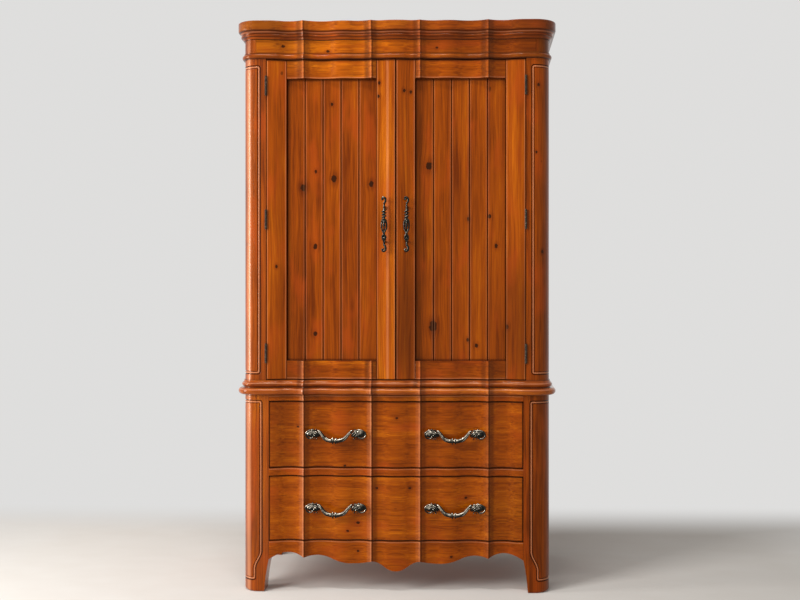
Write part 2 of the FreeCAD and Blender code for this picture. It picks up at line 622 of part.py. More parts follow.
# ---------------------------------------------------------------- lower case
chest_top = moulded_board("chest_top_plain", "cap_overhang", "chest_height", CHEST_TOP)
node("chest_top", eased("chest_top_round", chest_top, "bullnose_radius", ("chest_height", CHEST_TOP)))
between_posts = (f"-{LOWER_POST_IN}", LOWER_POST_IN)
node("chest_top_rail", shaped("chest_rail", between_posts, (DRAWER_HEAD, "chest_height")))
node("drawer_divider_rail", shaped("divider_rail", between_posts, (DIVIDER_UNDER, DIVIDER_TOP)))

half_apron = [
    (LOWER_POST_IN, "foot_height", "-arch_sag"),
    (OUTER_RIDGE, "foot_height + ridge_rise", "-small_arch_sag"),
    (f"{OUTER_RIDGE} - small_arch_width", "foot_height + small_arch_rise", "lobe_sag"),
    (INNER_RIDGE, "foot_height - lobe_drop", "-scroll_sag"),
    ("pendant_half", "foot_height - pendant_drop", "pendant_sag"),
]
bends = [bend for _, _, bend in half_apron]
apron_points = [(f"-{LOWER_POST_IN}", "apron_top", 0)]
apron_points += [(f"-({x})", z, bend) for (x, z, _), bend in zip(half_apron, bends)]
right_bends = [0] + bends[:-1]
apron_points += [(x, z, bend) for (x, z, _), bend in list(zip(half_apron, right_bends))[::-1]]
apron_points += [(LOWER_POST_IN, "apron_top", 0)]
apron_sketch = place(outline_sketch("apron_outline", apron_points, ALONG_Y), 0, FRONT, 0)
apron_blank = extruded("apron_blank", apron_sketch, "front_thick", (0, 1, 0))
node("apron", common("apron_shaped", apron_blank, prism))

lower_z = (PANEL_LOW, "chest_height")
lower_side = box("lower_side", (f"-{PANEL_OUT}", f"-{PANEL_IN}"), side_y, lower_z)
node("left_lower_side", lower_side)
node("right_lower_side", mirrored("lower_side_right", lower_side))
node("rear_legs", both_sides("rear_leg", (REAR_POST_IN, BODY), rear_y, ("0", "chest_height")))
node("lower_back_panel", box("lower_back", between_rear, (BACK_PANEL, BACK), lower_z))

# ---------------------------------------------------------------- drawers and what carries them
drawers = {
    "top": (DIVIDER_TOP, DRAWER_HEAD),
    "bottom": ("apron_top", DIVIDER_UNDER),
}
runners, guides, stops = [], [], []
track_y = (POST_BACK, REAR_POST)
runner_x = (f"{LOWER_POST_IN} - runner_reach", PANEL_IN)
guide_x = (LOWER_POST_IN, PANEL_IN)
stop_x = (f"{LOWER_POST_IN} - runner_reach", f"{LOWER_POST_IN} - drawer_gap")
stop_y = (DRAWER_END, f"{DRAWER_END} + stop_block")
for name, (opening_low, opening_high) in drawers.items():
    low, high = f"({opening_low} + drawer_gap)", f"({opening_high} - drawer_gap)"
    side_low, side_high = f"({low} + side_bottom_rise)", f"({high} - side_top_drop)"
    side_y_range = (SHAPED_BACK, DRAWER_END)
    runners.append(both_sides(f"{name}_runner", runner_x, track_y, (f"{side_low} - runner_thick", side_low)))
    guides.append(both_sides(f"{name}_guide", guide_x, track_y, (side_low, f"{side_low} + guide_height")))
    stops.append(both_sides(f"{name}_stop", stop_x, stop_y, (side_low, f"{side_low} + stop_block")))

    bottom_x = f"({DRAWER_OUT} - side_thick + bottom_groove)"
    bottom_z = (f"({side_low} + bottom_rise)", f"({side_low} + bottom_rise + drawer_bottom_thick)")
    bottom_y = (f"{SHAPED_BACK} - bottom_groove", DRAWER_END)
    bottom = box(f"{name}_bottom", (f"-{bottom_x}", bottom_x), bottom_y, bottom_z)
    node(f"{name}_drawer_bottom", bottom)
    side_x = (f"{DRAWER_OUT} - side_thick", DRAWER_OUT)
    sides = both_sides(f"{name}_sides", side_x, side_y_range, (side_low, side_high))
    node(f"{name}_drawer_sides", cut(f"{name}_sides_grooved", sides, bottom))
    inner_x = (f"-{DRAWER_OUT} + side_thick", f"{DRAWER_OUT} - side_thick")
    back_y = (f"{DRAWER_END} - side_thick", DRAWER_END)
    back_z = (bottom_z[1], f"{side_high} - back_drop")
    node(f"{name}_drawer_back", box(f"{name}_back", inner_x, back_y, back_z))

    pulls, screws, bores = [], [], []
    middle = f"(({low} + {high})/2)"
    bar_y = f"({FRONT} - pull_axis_reach)"
    bar_curve = "((pull_bar_half*pull_bar_half + pull_drop*pull_drop)/(2*pull_drop))"
    for i, centre in enumerate(("-pull_offset", "pull_offset")):
        ring = DOC.addObject("Part::Torus", f"{name}_pull_ring_{i}")
        bind(ring, Radius1=bar_curve, Radius2="pull_bar_radius")
        ring_z = f"{middle} - pull_drop + {bar_curve}"
        place(ring, centre, bar_y, ring_z, ALONG_Y)
        span = box(
            f"{name}_pull_span_{i}",
            (f"{centre} - pull_bar_half", f"{centre} + pull_bar_half"),
            (f"{bar_y} - 2*pull_bar_radius", f"{bar_y} + 2*pull_bar_radius"),
            (f"{middle} - 2*pull_drop", f"{middle} + pull_drop"),
        )
        bar = common(f"{name}_pull_bar_{i}", ring, span)
        collar_x, collar_z = f"{centre} - collar_width/2", f"{middle} - pull_drop"
        collar_name = f"{name}_collar_{i}"
        collar = cylinder(collar_name, "collar_radius", "collar_width", collar_x, bar_y, collar_z, ALONG_X)
        parts = [bar, collar]
        for j, side in enumerate(("-", "+")):
            leaf_x = f"({centre} {side} leaf_offset)"
            leaf_tips = [(f"{leaf_x} {way} leaf_half", middle, "leaf_rise") for way in ("-", "+")]
            leaf_outline = outline_sketch(f"{name}_leaf_outline_{i}_{j}", leaf_tips, ALONG_Y)
            place(leaf_outline, 0, f"{FRONT} - leaf_stand", 0)
            parts.append(extruded(f"{name}_leaf_{i}_{j}", leaf_outline, "front_thick", (0, 1, 0)))
            foot_x = f"{centre} {side} screw_pitch/2"
            reach = f"({SHAPED_BACK} - {bar_y})"
            parts.append(foot(f"{name}_pull_foot_{i}_{j}", "pull_foot_radius", foot_x, bar_y, middle, reach))
            screw(f"{name}_pull_screw_{i}_{j}", foot_x, middle, bores, screws)
        pulls.append(fuse(f"{name}_pull_cast_{i}", parts))
    bore = fuse(f"{name}_pull_bores", bores)
    away = fuse(f"{name}_pull_away", [prism, bore])
    pulls = [cut(f"{name}_pull_{i}", cast, away) for i, cast in enumerate(pulls)]
    node(f"{name}_drawer_pulls", group(f"{name}_pulls", pulls))
    node(f"{name}_drawer_pull_screws", group(f"{name}_screws", screws))
    front = shaped(f"{name}_front", (f"-{DRAWER_OUT}", DRAWER_OUT), (low, high))
    node(f"{name}_drawer_front", cut(f"{name}_front_cut", front, fuse(f"{name}_front_away", [bottom, bore])))
kicker_low = f"({DRAWER_HEAD} - drawer_gap - side_top_drop + kicker_gap)"
guides.append(both_sides("kicker", runner_x, track_y, (kicker_low, "chest_height")))
node("drawer_runners", group("all_runners", runners))
node("drawer_guides", group("all_guides", guides))
node("drawer_stops", group("all_stops", stops))

# ---------------------------------------------------------------- check and write
DOC.recompute()
for thing in DOC.Objects:
    if "Invalid" in thing.State or "Error" in thing.State:
        raise SystemExit(f"{thing.Name} is {thing.State}")
os.makedirs("parts", exist_ok=True)
for label, thing in NODES.items():
    shape = thing.Shape
    if shape.isNull() or not shape.isValid() or not shape.Solids:
        raise SystemExit(f"{label} has no sound solid")
    shape.exportStep(f"parts/{label}.step")
print(len(NODES), "nodes written")
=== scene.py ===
"""Dresses the tv armoire: a knotty pine case with a serpentine front, plank doors and cast hardware.

Metres, in the frame of the solids: +Z up, the doors and drawers face -Y.
"""

import math

import bmesh
import bpy
from bmesh.types import BMEdge, BMVert
from mathutils import Matrix, Vector


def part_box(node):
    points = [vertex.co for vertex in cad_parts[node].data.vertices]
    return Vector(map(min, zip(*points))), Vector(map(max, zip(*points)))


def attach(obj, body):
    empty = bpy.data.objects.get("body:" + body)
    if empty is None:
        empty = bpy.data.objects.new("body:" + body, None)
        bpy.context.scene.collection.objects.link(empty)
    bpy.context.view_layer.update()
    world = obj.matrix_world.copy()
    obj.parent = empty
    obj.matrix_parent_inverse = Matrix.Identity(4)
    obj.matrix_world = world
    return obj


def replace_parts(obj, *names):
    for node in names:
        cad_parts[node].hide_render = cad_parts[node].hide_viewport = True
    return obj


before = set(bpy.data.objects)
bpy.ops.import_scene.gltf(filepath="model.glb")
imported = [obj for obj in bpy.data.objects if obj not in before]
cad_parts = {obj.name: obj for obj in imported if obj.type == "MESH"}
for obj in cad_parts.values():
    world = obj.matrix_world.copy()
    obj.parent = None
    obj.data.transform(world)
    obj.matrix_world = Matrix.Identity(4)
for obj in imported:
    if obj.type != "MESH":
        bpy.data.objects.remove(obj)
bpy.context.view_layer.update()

# -------- cornice
# The crown of the case: a cap board over a small moulded cove, and a half-round bead that hides the top of
# the doors. Pine mouldings, run along the serpentine front, mitred at the corners and pinned to the frieze.
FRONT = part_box("frieze_front")[0].y
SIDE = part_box("frieze_front")[1].x
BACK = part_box("cornice_cap")[1].y
CORNER_RADIUS = 0.055
ROUND_START = SIDE - CORNER_RADIUS
# From the centre outwards: where a stretch of the front ends, its set-back there, its swell (+) or dip (-).
WAVE = [
    (0.045, 0.006, 0.006), (0.091, 0, -0.0046), (0.163, 0.0113, -0.0068), (0.236, 0.0141, 0.0046),
    (0.345, 0, -0.0117), (0.43, 0.0095, -0.0107), (0.48, 0, 0.0024), (ROUND_START, 0, 0),
]
RIDGES = (0.091, 0.345)


def heights(node):
    """The lower and the upper height of a solid."""
    return [corner.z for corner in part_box(node)]


def set_back(x):
    """How far the front lies behind its ridges at a distance x from the centre."""
    x = abs(x)
    if x > ROUND_START:
        return CORNER_RADIUS - math.sqrt(max(CORNER_RADIUS**2 - (x - ROUND_START) ** 2, 0))
    start, start_back = -WAVE[0][0], WAVE[0][1]
    for end, back, swell in WAVE:
        if x <= end:
            break
        start, start_back = end, back
    chord = Vector((end - start, start_back - back))
    if swell == 0:
        return start_back - chord.y * (x - start) / chord.x
    radius = (chord.length_squared / 4 + swell**2) / (2 * abs(swell))
    way = math.copysign(1, swell)
    middle = Vector(((start + end) / 2, -(start_back + back) / 2))
    centre = middle + Vector((-chord.y, chord.x)).normalized() * (swell - way * radius)
    return -(centre.y + way * math.sqrt(radius**2 - (x - centre.x) ** 2))


def stations(left, right, step=0.006):
    """Places along the front between two limits, with one at each end and joint of the wave."""
    joints = {side * end for end, _, _ in WAVE for side in (-1, 1) if left < side * end < right}
    joints = sorted(joints | {left, right})
    places = []
    for a, b in zip(joints, joints[1:]):
        count = math.ceil((b - a) / step)
        places += [a + (b - a) * i / count for i in range(count)]
    return places + [right]


def facing(x):
    """The point of the wave at x, and the way out of the front there."""
    return Vector((x, FRONT + set_back(x), 0)), Vector((0, -1, 0))


def rounding(turn):
    """The point at an angle round the right-hand corner, 0 at the front, and the way out there."""
    out = Vector((math.sin(turn), -math.cos(turn), 0))
    return Vector((ROUND_START, FRONT + CORNER_RADIUS, 0)) + out * CORNER_RADIUS, out


def plan_line(steps=14):
    """The outline from the back left round the front to the back right: points, each with its way out."""
    half = [facing(x) for x in stations(0, ROUND_START)]
    half += [rounding(math.pi / 2 * i / steps) for i in range(1, steps + 1)]
    half.append((Vector((SIDE, BACK, 0)), Vector((1, 0, 0))))
    flip = Matrix.Scale(-1, 4, (1, 0, 0))
    return [(flip @ point, flip @ out) for point, out in half[:0:-1]] + half


WELD = 0.00002


def of_kind(geometry, kind):
    return [item for item in geometry if isinstance(item, kind)]


def moulding(profile, base=0, board=False):
    """A moulding along the outline, through (reach, height above the base): a closed strip, or a board."""
    mesh = bmesh.new()
    outward = mesh.verts.layers.float_vector.new("outward")
    row = []
    reach, height = profile[0]
    for point, out in plan_line():
        vert = mesh.verts.new(point + out * reach + Vector((0, 0, base + height)))
        vert[outward] = out
        row.append(vert)
    edges = [mesh.edges.new(pair) for pair in zip(row, row[1:])]
    if board:
        edges.append(mesh.edges.new((row[-1], row[0])))
    steps = profile if board else profile + profile[:1]
    for (reach, height), (next_reach, next_height) in zip(steps, steps[1:]):
        grown = bmesh.ops.extrude_edge_only(mesh, edges=edges)["geom"]
        for vert in of_kind(grown, BMVert):
            vert.co += vert[outward] * (next_reach - reach) + Vector((0, 0, next_height - height))
        edges = of_kind(grown, BMEdge)
    bmesh.ops.remove_doubles(mesh, verts=mesh.verts, dist=WELD)
    bmesh.ops.holes_fill(mesh, edges=mesh.edges, sides=0)
    mesh.verts.layers.float_vector.remove(mesh.verts.layers.float_vector["outward"])
    return mesh


def arc(reach, height, radius, start, end, count=6):
    """Profile points round a centre: 0 degrees is outwards and 90 degrees is up."""
    turns = [math.radians(start + (end - start) * i / count) for i in range(count + 1)]
    return [(reach + radius * math.cos(turn), height + radius * math.sin(turn)) for turn in turns]


def placed(name, data):
    """A new object in the scene."""
    made = bpy.data.objects.new(name, data)
    bpy.context.scene.collection.objects.link(made)
    return made


def finished(name, mesh, finish, body, slot, *nodes, crease=38):
    """A piece of the armoire from its bmesh, on its body and in place of the nodes that it stands for."""
    bmesh.ops.recalc_face_normals(mesh, faces=mesh.faces)
    data = bpy.data.meshes.new(name)
    mesh.to_mesh(data)
    mesh.free()
    data.shade_smooth()
    data.set_sharp_from_angle(angle=math.radians(crease))
    data.materials.append(finish)
    piece = placed(name, data)
    piece.modifiers.new("flats", "WEIGHTED_NORMAL").keep_sharp = True
    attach(piece, body)
    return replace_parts(piece, *nodes) if nodes else piece


class Signal:
    """A shader value that adds, multiplies and compares in plain expressions."""

    def __init__(self, finish, socket):
        self.finish, self.socket = finish, socket

    def math(self, operation, *others):
        inputs = dict(enumerate((self, *others)))
        return self.finish.node("ShaderNodeMath", {"operation": operation}, inputs)

    def __add__(self, other):
        return self.math("ADD", other)

    def __sub__(self, other):
        return self.math("SUBTRACT", other)

    def __rsub__(self, other):
        return self.math("MULTIPLY", -1) + other

    def __mul__(self, other):
        return self.math("MULTIPLY", other)

    def __truediv__(self, other):
        return self.math("DIVIDE", other)

    def __abs__(self):
        return self.math("ABSOLUTE")

    __radd__ = __add__

    def rise(self, low, high):
        """0 below low, 1 above high, with a soft step between; it falls instead where high is below low."""
        limits = {"From Min": low, "From Max": high, "Value": self}
        return self.finish.node("ShaderNodeMapRange", {"interpolation_type": "SMOOTHSTEP"}, limits)


class Finish:
    """The nodes of a material or world, and the one way in which they are made."""

    def __init__(self, owner):
        self.owner = owner
        owner.use_nodes = True
        self.tree = owner.node_tree
        self.tree.nodes.clear()

    def node(self, kind, settings=None, sockets=None, out=0):
        """Adds a node, with its settings first, then its sockets' values or links, and gives one output."""
        made = self.tree.nodes.new(kind)
        for key, value in (settings or {}).items():
            setattr(made, key, value)
        for key, value in (sockets or {}).items():
            if isinstance(value, Signal):
                self.tree.links.new(value.socket, made.inputs[key])
            else:
                made.inputs[key].default_value = value
        return Signal(self, made.outputs[out]) if made.outputs else None

    def place(self):
        """The three coordinates of a point on the piece, in the frame of the whole armoire."""
        point = self.node("ShaderNodeTexCoord", out="Object")
        return [self.node("ShaderNodeSeparateXYZ", sockets={0: point}, out=axis) for axis in "XYZ"]

    def noise(self, x, y, z, detail=2, roughness=0.5):
        vector = self.node("ShaderNodeCombineXYZ", sockets={0: x, 1: y, 2: z})
        sockets = {"Vector": vector, "Scale": 1, "Detail": detail, "Roughness": roughness}
        return self.node("ShaderNodeTexNoise", sockets=sockets, out="Fac")

    def mix(self, share, first, second):
        """From the first colour to the second as the share goes from 0 to 1."""
        sockets = {0: share, 6: first, 7: second}
        return self.node("ShaderNodeMix", {"data_type": "RGBA"}, sockets, out=2)

    def surface(self, **sockets):
        """The closing shader: socket names are written with _ for a space."""
        sockets = {key.replace("_", " "): value for key, value in sockets.items()}
        shader = self.node("ShaderNodeBsdfPrincipled", sockets=sockets)
        self.node("ShaderNodeOutputMaterial", sockets={0: shader})
        return self.owner


AMBER = (0.53, 0.134, 0.003, 1)
HONEY = (0.265, 0.047, 0.0012, 1)
RUSSET = (0.095, 0.012, 0.0006, 1)
CHERRY = (0.34, 0.047, 0.004, 1)
KNOT = (0.014, 0.0022, 0.0008, 1)
BURNT = (0.03, 0.0035, 0.0008, 1)
ROSE = (0.62, 0.26, 0.13, 1)
# How near to the side mitred grain turns, and how far behind the ridges the marks on the front fade and end.
MITRE, MARKS_FADE, MARKS_END = 0.016, 0.045, 0.07


def pine(
    name, grain, tone=0.5, seed=0, lean=0, knots=(), ridges=((), ()), rubs=(), burns=(), board=0,
    routed=False, mitred=False, rough=0.32, coat=0.4,
):
    """Varnished knotty pine. The grain runs along an axis, and its lines swing round the knots.

    Tone goes from 0, russet, to 1, amber, and leans by a given amount for each metre of x. A knot is (along,
    across, radius). A painted highlight is a pale line mixed towards rose, (axis, place, half width,
    strength);
    painted shade and dark joints are dark lines mixed towards a near black, along with broad darker
    stretches;
    and ridges holds the painted highlights and painted shade of the wave. Board is the width of glued
    boards, routed wood has painted shade in its quirks and a painted highlight on its bead in the attribute
    "glaze", and the grain of mitred wood turns the corner to the sides.
    """
    finish = Finish(bpy.data.materials.new(f"pine_{name}"))
    axes = dict(zip("xyz", finish.place()))
    along = axes[grain]
    across, depth = (axes[axis] for axis in {"x": "zy", "z": "xy", "y": "zx"}[grain])
    if mitred:
        on_side = abs(axes["x"]).math("GREATER_THAN", SIDE - MITRE)
        turn = (axes["y"] - axes["x"]) * on_side
        along, depth = along + turn, depth - turn
    count = across / board if board else across * 0
    number = count.math("FLOOR") * 3.7 + seed
    wander = finish.noise(along * 1.7 + number, across * 5, depth * 5 + seed) - 0.5
    line = across + wander * 0.035
    core = along * 0
    halo = along * 0
    for knot_along, knot_across, radius in knots:
        run, side = along - knot_along, across - knot_across
        near = (run * run * (0.12 / radius**2) + side * side * (0.35 / radius**2)) * -1
        line = line - side * near.math("EXPONENT") * 0.8
        wobble = finish.noise(along / radius * 0.9, across / radius * 0.9, depth * 0 + seed, 1) - 0.5
        reach = (run * run * 0.55 + side * side).math("SQRT") / radius + wobble * 0.8
        ring = reach.rise(1.1, 0.75) - reach.rise(0.7, 0.3) * 0.18
        core = core.math("MAXIMUM", ring)
        halo = halo.math("MAXIMUM", reach.rise(3.2, 0.7))
    streak = finish.noise(along * 2.1 + number, line * 62, depth * 62 + number, 3, 0.55)
    band = finish.noise(along * 0.9 + number + 5, line * 19, depth * 19 + number)
    fibre = finish.noise(along * 9, line * 270, depth * 270 + number)
    patch = finish.noise(along * 3.4 + number, across * 7.5, depth * 7.5 + seed + 9)
    shade = tone + (streak - 0.5) * 0.95 + (band - 0.5) * 0.65 + (fibre - 0.5) * 0.75 + (patch - 0.5) * 0.55
    shade = shade - halo * 0.22 + axes["x"] * lean
    colour = finish.mix(shade.rise(-0.05, 0.6), RUSSET, HONEY)
    colour = finish.mix(shade.rise(0.45, 1.2), colour, AMBER)
    vein = finish.noise(along * 1.3 + number, line * 150, depth * 150 + number, 1)
    colour = finish.mix(vein.rise(0.56, 0.72) * 0.5, colour, RUSSET)
    blush = finish.noise(along * 5.5 + seed, across * 14, depth * 14 + number)
    colour = finish.mix(blush.rise(0.5, 0.72) * 0.5, colour, CHERRY)
    speck = finish.noise(along * 24, across * 34 + number, depth * 34 + seed + 3, 0)
    colour = finish.mix(speck.rise(0.87, 0.91) * 0.6, colour, KNOT)
    colour = finish.mix(core.rise(0, 0.8) * 0.97, colour, KNOT)
    mark_patchiness = 0.35 + (patch + streak) * 0.65
    # Pale lines mix towards rose: painted highlights. Dark lines mix towards a near black: painted shade and
    # dark joints. All are patchy along the grain.
    for lines, glaze in (([*ridges[0], *rubs], ROSE), ([*burns, *ridges[1]], BURNT)):
        for axis, place, half_width, strength in lines:
            share = abs(axes[axis] - place).rise(half_width, half_width * 0.2) * strength
            if axis == "x":
                share = share * axes["y"].rise(FRONT + MARKS_END, FRONT + MARKS_FADE)
            colour = finish.mix(share * mark_patchiness, colour, glaze)
    # Routed wood: painted shade in the quirks round the bead, and a painted highlight on the bead itself.
    if routed:
        glaze = finish.node("ShaderNodeAttribute", {"attribute_name": "glaze"}, out="Fac")
        colour = finish.mix(glaze.rise(0.25, 1) * 0.85, colour, BURNT)
        colour = finish.mix(glaze.rise(-0.1, -0.9) * 0.55, colour, ROSE)
    drag = finish.noise(along * 5, across * 26, depth * 26 + seed)
    relief = streak * 0.5 + fibre * 0.35 + drag * 0.6 - core * 0.8
    bump = finish.node("ShaderNodeBump", sockets={"Strength": 0.16, "Distance": 0.0015, "Height": relief})
    return finish.surface(
        Base_Color=colour, Roughness=rough + (patch - 0.5) * 0.14 + core * 0.1, Normal=bump,
        Specular_IOR_Level=0.35, Specular_Tint=(1, 0.4, 0.07, 1), Coat_Weight=coat, Coat_IOR=1.26,
        Coat_Roughness=0.13,
    )


def marks(axis, places, half_width, strength, shift=0):
    """Pale or dark lines alike at several places."""
    return [(axis, place + shift, half_width, strength) for place in places]


def ridge_marks(pale, dark, before=0):
    """Painted highlights just left of each ridge, stronger towards the left, and painted shade right of it,
    and before it if asked.
    """
    places = [side * ridge for ridge in RIDGES for side in (-1, 1)]
    rubs = []
    for place in places:
        # Stronger towards the left, the side the light comes from.
        share = pale * min(1, 0.75 - 1.6 * place)
        rubs += [("x", place - 0.003, 0.0042, share), ("x", place - 0.01, 0.011, share * 0.3)]
    burns = marks("x", places, 0.0038, dark, 0.0034) + marks("x", places, 0.015, dark * 0.6, 0.012)
    if before:
        burns += marks("x", places, 0.015, before, -0.017)
    return rubs, burns


# Painted highlights and painted shade at the ridges of the upper mouldings, the cabinet floor, the frieze
# and the door rails.
CROWN = ridge_marks(0.13, 0.6, before=0.5)

bead_under, _ = heights("astragal_bead")
cove_under, _ = heights("cornice_cove")
cap_under, cap_top = heights("cornice_cap")
CAP_REACH, CAP_EASE, CAP_TOP_EASE = 0.025, 0.007, 0.004
cap_profile = [(0, cap_under)] + arc(CAP_REACH - CAP_EASE, cap_under + CAP_EASE, CAP_EASE, -90, 0)
cap_profile += arc(CAP_REACH - CAP_TOP_EASE, cap_top - CAP_TOP_EASE, CAP_TOP_EASE, 0, 90, 4)
# The cap: painted shade along its underside, the painted highlights and painted shade of the ridges, and
# broad darker stretches at both ends and in the middle.
cap_wood = pine(
    "cap", "x", tone=0.56, seed=1, lean=-0.35, ridges=CROWN, mitred=True, coat=0.55,
    burns=[("z", cap_under, 0.004, 0.7), ("x", -0.52, 0.2, 0.56), ("x", 0.02, 0.13, 0.2),
           ("x", 0.52, 0.22, 0.42)],
)
finished("cap", moulding(cap_profile, board=True), cap_wood, "case", "pine_moulding", "cornice_cap")

# Millimetres outwards, and up from the underside.
COVE_STEPS = [
    (-2, 0), (4, 0), (4.5, 2.5), (6.5, 6), (9.5, 9), (10.5, 10), (13, 10.5), (14.7, 12.5), (15.2, 15),
    (14.7, 17.2), (13, 19), (11.8, 19.5), (12.5, 22.5), (15, 26.2), (19, 29), (19, 30), (-2, 30),
]
# A painted highlight along the upper curve of the cove, and painted shade along its lower edge, in its
# quirks and under the cap.
cove_wood = pine(
    "cove", "x", tone=0.22, seed=2, ridges=CROWN, rubs=[("z", cove_under + 0.0255, 0.0026, 0.25)],
    burns=[("z", cove_under, 0.0026, 0.9), ("z", cove_under + 0.01, 0.0024, 0.6),
           ("z", cove_under + 0.0198, 0.0024, 0.7), ("z", cap_under, 0.0024, 0.9)],
    mitred=True, coat=0.6,
)
cove = moulding([(reach / 1000, rise / 1000) for reach, rise in COVE_STEPS], cove_under)
finished("cove", cove, cove_wood, "case", "pine_moulding", "cornice_cove")

bead_steps = [(-0.002, 0), (0.004, 0), (0.0045, 0.002)]
bead_steps += [(0.0004 + reach, rise) for reach, rise in arc(0, 0.0105, 0.0096, -60, 75, 10)]
bead_steps += [(0.003, 0.0212), (0.0032, 0.024), (-0.002, 0.024)]
# Painted shadow under the bead, where it overhangs the doors, painted shade in its upper quirk, and broad
# darker stretches along it.
bead_wood = pine(
    "bead", "x", tone=0.55, seed=3, ridges=CROWN,
    burns=[("z", bead_under, 0.0055, 0.95), ("z", bead_under + 0.0212, 0.0022, 0.8),
           ("x", -0.52, 0.18, 0.42), ("x", -0.1, 0.24, 0.24), ("x", 0.46, 0.44, 0.46)],
    mitred=True, coat=0.6,
)
bead = moulding(bead_steps, bead_under)
finished("bead", bead, bead_wood, "case", "pine_moulding", "astragal_bead")


# -------- frieze
# The plain band under the crown: a pine board sawn to the wave, glued between two rounded corner blocks.
# The returns run straight back along the sides.
def sheet(mesh, columns, rows, place, layer=None):
    """A grid of faces: place puts the corner of each column and row, and gives it a value for a layer."""
    across, up = len(columns) - 1, len(rows) - 1
    for vert in bmesh.ops.create_grid(mesh, x_segments=across, y_segments=up, size=1)["verts"]:
        column, row = round((vert.co.x + 1) / 2 * across), round((vert.co.y + 1) / 2 * up)
        if layer:
            vert.co, vert[layer] = place(columns[column], rows[row])
        else:
            vert.co = place(columns[column], rows[row])


def shaped_board(left, right, low, high, back, ease=0.0018):
    """A board whose front follows the wave: low and high are heights, or give a height for each x."""
    mesh = bmesh.new()
    edges_at = [edge if callable(edge) else lambda x, edge=edge: edge for edge in (low, high)]
    sheet(
        mesh, stations(left, right), (0, 1),
        lambda x, row: Vector((x, FRONT + set_back(x), edges_at[row](x))),
    )
    grown = bmesh.ops.extrude_face_region(mesh, geom=mesh.faces[:], use_keep_orig=True)["geom"]
    for vert in of_kind(grown, BMVert):
        vert.co.y = back
    bmesh.ops.recalc_face_normals(mesh, faces=mesh.faces)
    sharp = math.radians(60)
    front_edges = [
        edge for edge in mesh.edges
        if all(vert.co.y < back - 0.001 for vert in edge.verts) and edge.calc_face_angle(0) > sharp
    ]
    bmesh.ops.bevel(
        mesh, geom=front_edges, offset=ease, segments=2, affect="EDGES", profile=0.5, material=-1,
        clamp_overlap=True,
    )
    return mesh


frieze_low, frieze_high = heights("frieze_front")
frieze_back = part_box("frieze_front")[1].y
BLOCK_START = 0.5236
# Painted shade under the cove and over the bead, dark joints at the corner blocks, and broad darker
# stretches.
frieze_wood = pine(
    "frieze", "x", tone=0.63, seed=4, lean=-0.85,
    knots=[(-0.423, 2.04, 0.005), (0.153, 2.033, 0.004), (-0.256, 2.022, 0.005)], ridges=CROWN,
    burns=[("z", cove_under, 0.003, 0.7), ("z", bead_under + 0.024, 0.003, 0.6),
           ("x", -BLOCK_START, 0.003, 0.7), ("x", BLOCK_START, 0.003, 0.3), ("x", -0.5, 0.24, 0.42),
           ("x", 0.26, 0.2, 0.2), ("x", 0.5, 0.16, 0.32)],
)
frieze = shaped_board(-BLOCK_START, BLOCK_START, frieze_low, frieze_high, frieze_back)
finished("frieze", frieze, frieze_wood, "case", "pine_moulding", "frieze_front")

# A painted highlight down the rounded left corner, and broad darker stretches at both corners.
block_wood = pine(
    "corner_block", "z", tone=0.46, seed=5, rubs=[("x", -0.552, 0.0105, 0.4)],
    burns=[("x", -0.56, 0.09, 0.3), ("x", 0.56, 0.09, 0.6)],
)
BLOCK_STEPS = 12
block_turn = math.asin((BLOCK_START - ROUND_START) / CORNER_RADIUS)
turns = [block_turn + (math.pi / 2 - block_turn) * i / BLOCK_STEPS for i in range(BLOCK_STEPS + 1)]
outline = [rounding(turn)[0] for turn in turns]
outline += [Vector((SIDE, frieze_back, 0)), Vector((BLOCK_START, frieze_back, 0))]
for side, way in (("left", -1), ("right", 1)):
    block = bmesh.new()
    face = block.faces.new([block.verts.new((point.x * way, point.y, frieze_low)) for point in outline])
    grown = bmesh.ops.extrude_face_region(block, geom=[face])["geom"]
    raised = of_kind(grown, BMVert)
    bmesh.ops.translate(block, verts=raised, vec=(0, 0, frieze_high - frieze_low))
    finished(f"{side}_corner_block", block, block_wood, "case", "pine_moulding")


# -------- posts
# Rounded corner posts of solid pine. A bead is routed into each, between two quirks: up the front, round the
# corner and down the side. On the lower posts it swings outwards above the foot, which tapers to the floor.
BEAD_HALF, QUIRK_HALF, GROOVE_HALF = 0.0038, 0.0054, 0.0066
# How far the painted shade of the routed line reaches from the middle of the bead, outside and inside, and
# how soft its edge is.
DARK_OUTSIDE, DARK_INSIDE, DARK_FADE = 0.0086, 0.0062, 0.002
GROOVE_DEPTH = 0.0032
BEAD_TURN = 0.0045
SIDE_LINE = 0.06
RULES = [0.0013, 0.0026, 0.0034, 0.0039, 0.0046, 0.0054, 0.006, 0.0066, 0.0076, 0.0086]
ROUTED = [-rule for rule in reversed(RULES)] + [0] + RULES
POST_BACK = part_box("left_upper_post")[1].y
# The bead of a lower post swings out by SWING, and back over SWING_RISE above SWING_LOW. Below TAPER_TOP the
# inner side of the foot tapers in a slight curve.
SWING, SWING_LOW, SWING_RISE = 0.0245, 0.084, 0.068
TAPER, TAPER_CURVE, TAPER_TOP = 0.017, 0.01, 0.12
FOOT_EASE = 0.01


def soft(share):
    """A soft step from 0 to 1."""
    share = min(max(share, 0), 1)
    return share * share * (3 - 2 * share)


def routed_depth(distance):
    """How deep the surface lies at a distance from the middle of the bead."""
    distance = abs(distance)
    if distance < BEAD_HALF:
        return GROOVE_DEPTH * (1 - math.sqrt(1 - (distance / BEAD_HALF) ** 2))
    if distance < QUIRK_HALF:
        return GROOVE_DEPTH
    return GROOVE_DEPTH * (1 - soft((distance - QUIRK_HALF) / (GROOVE_HALF - QUIRK_HALF)))


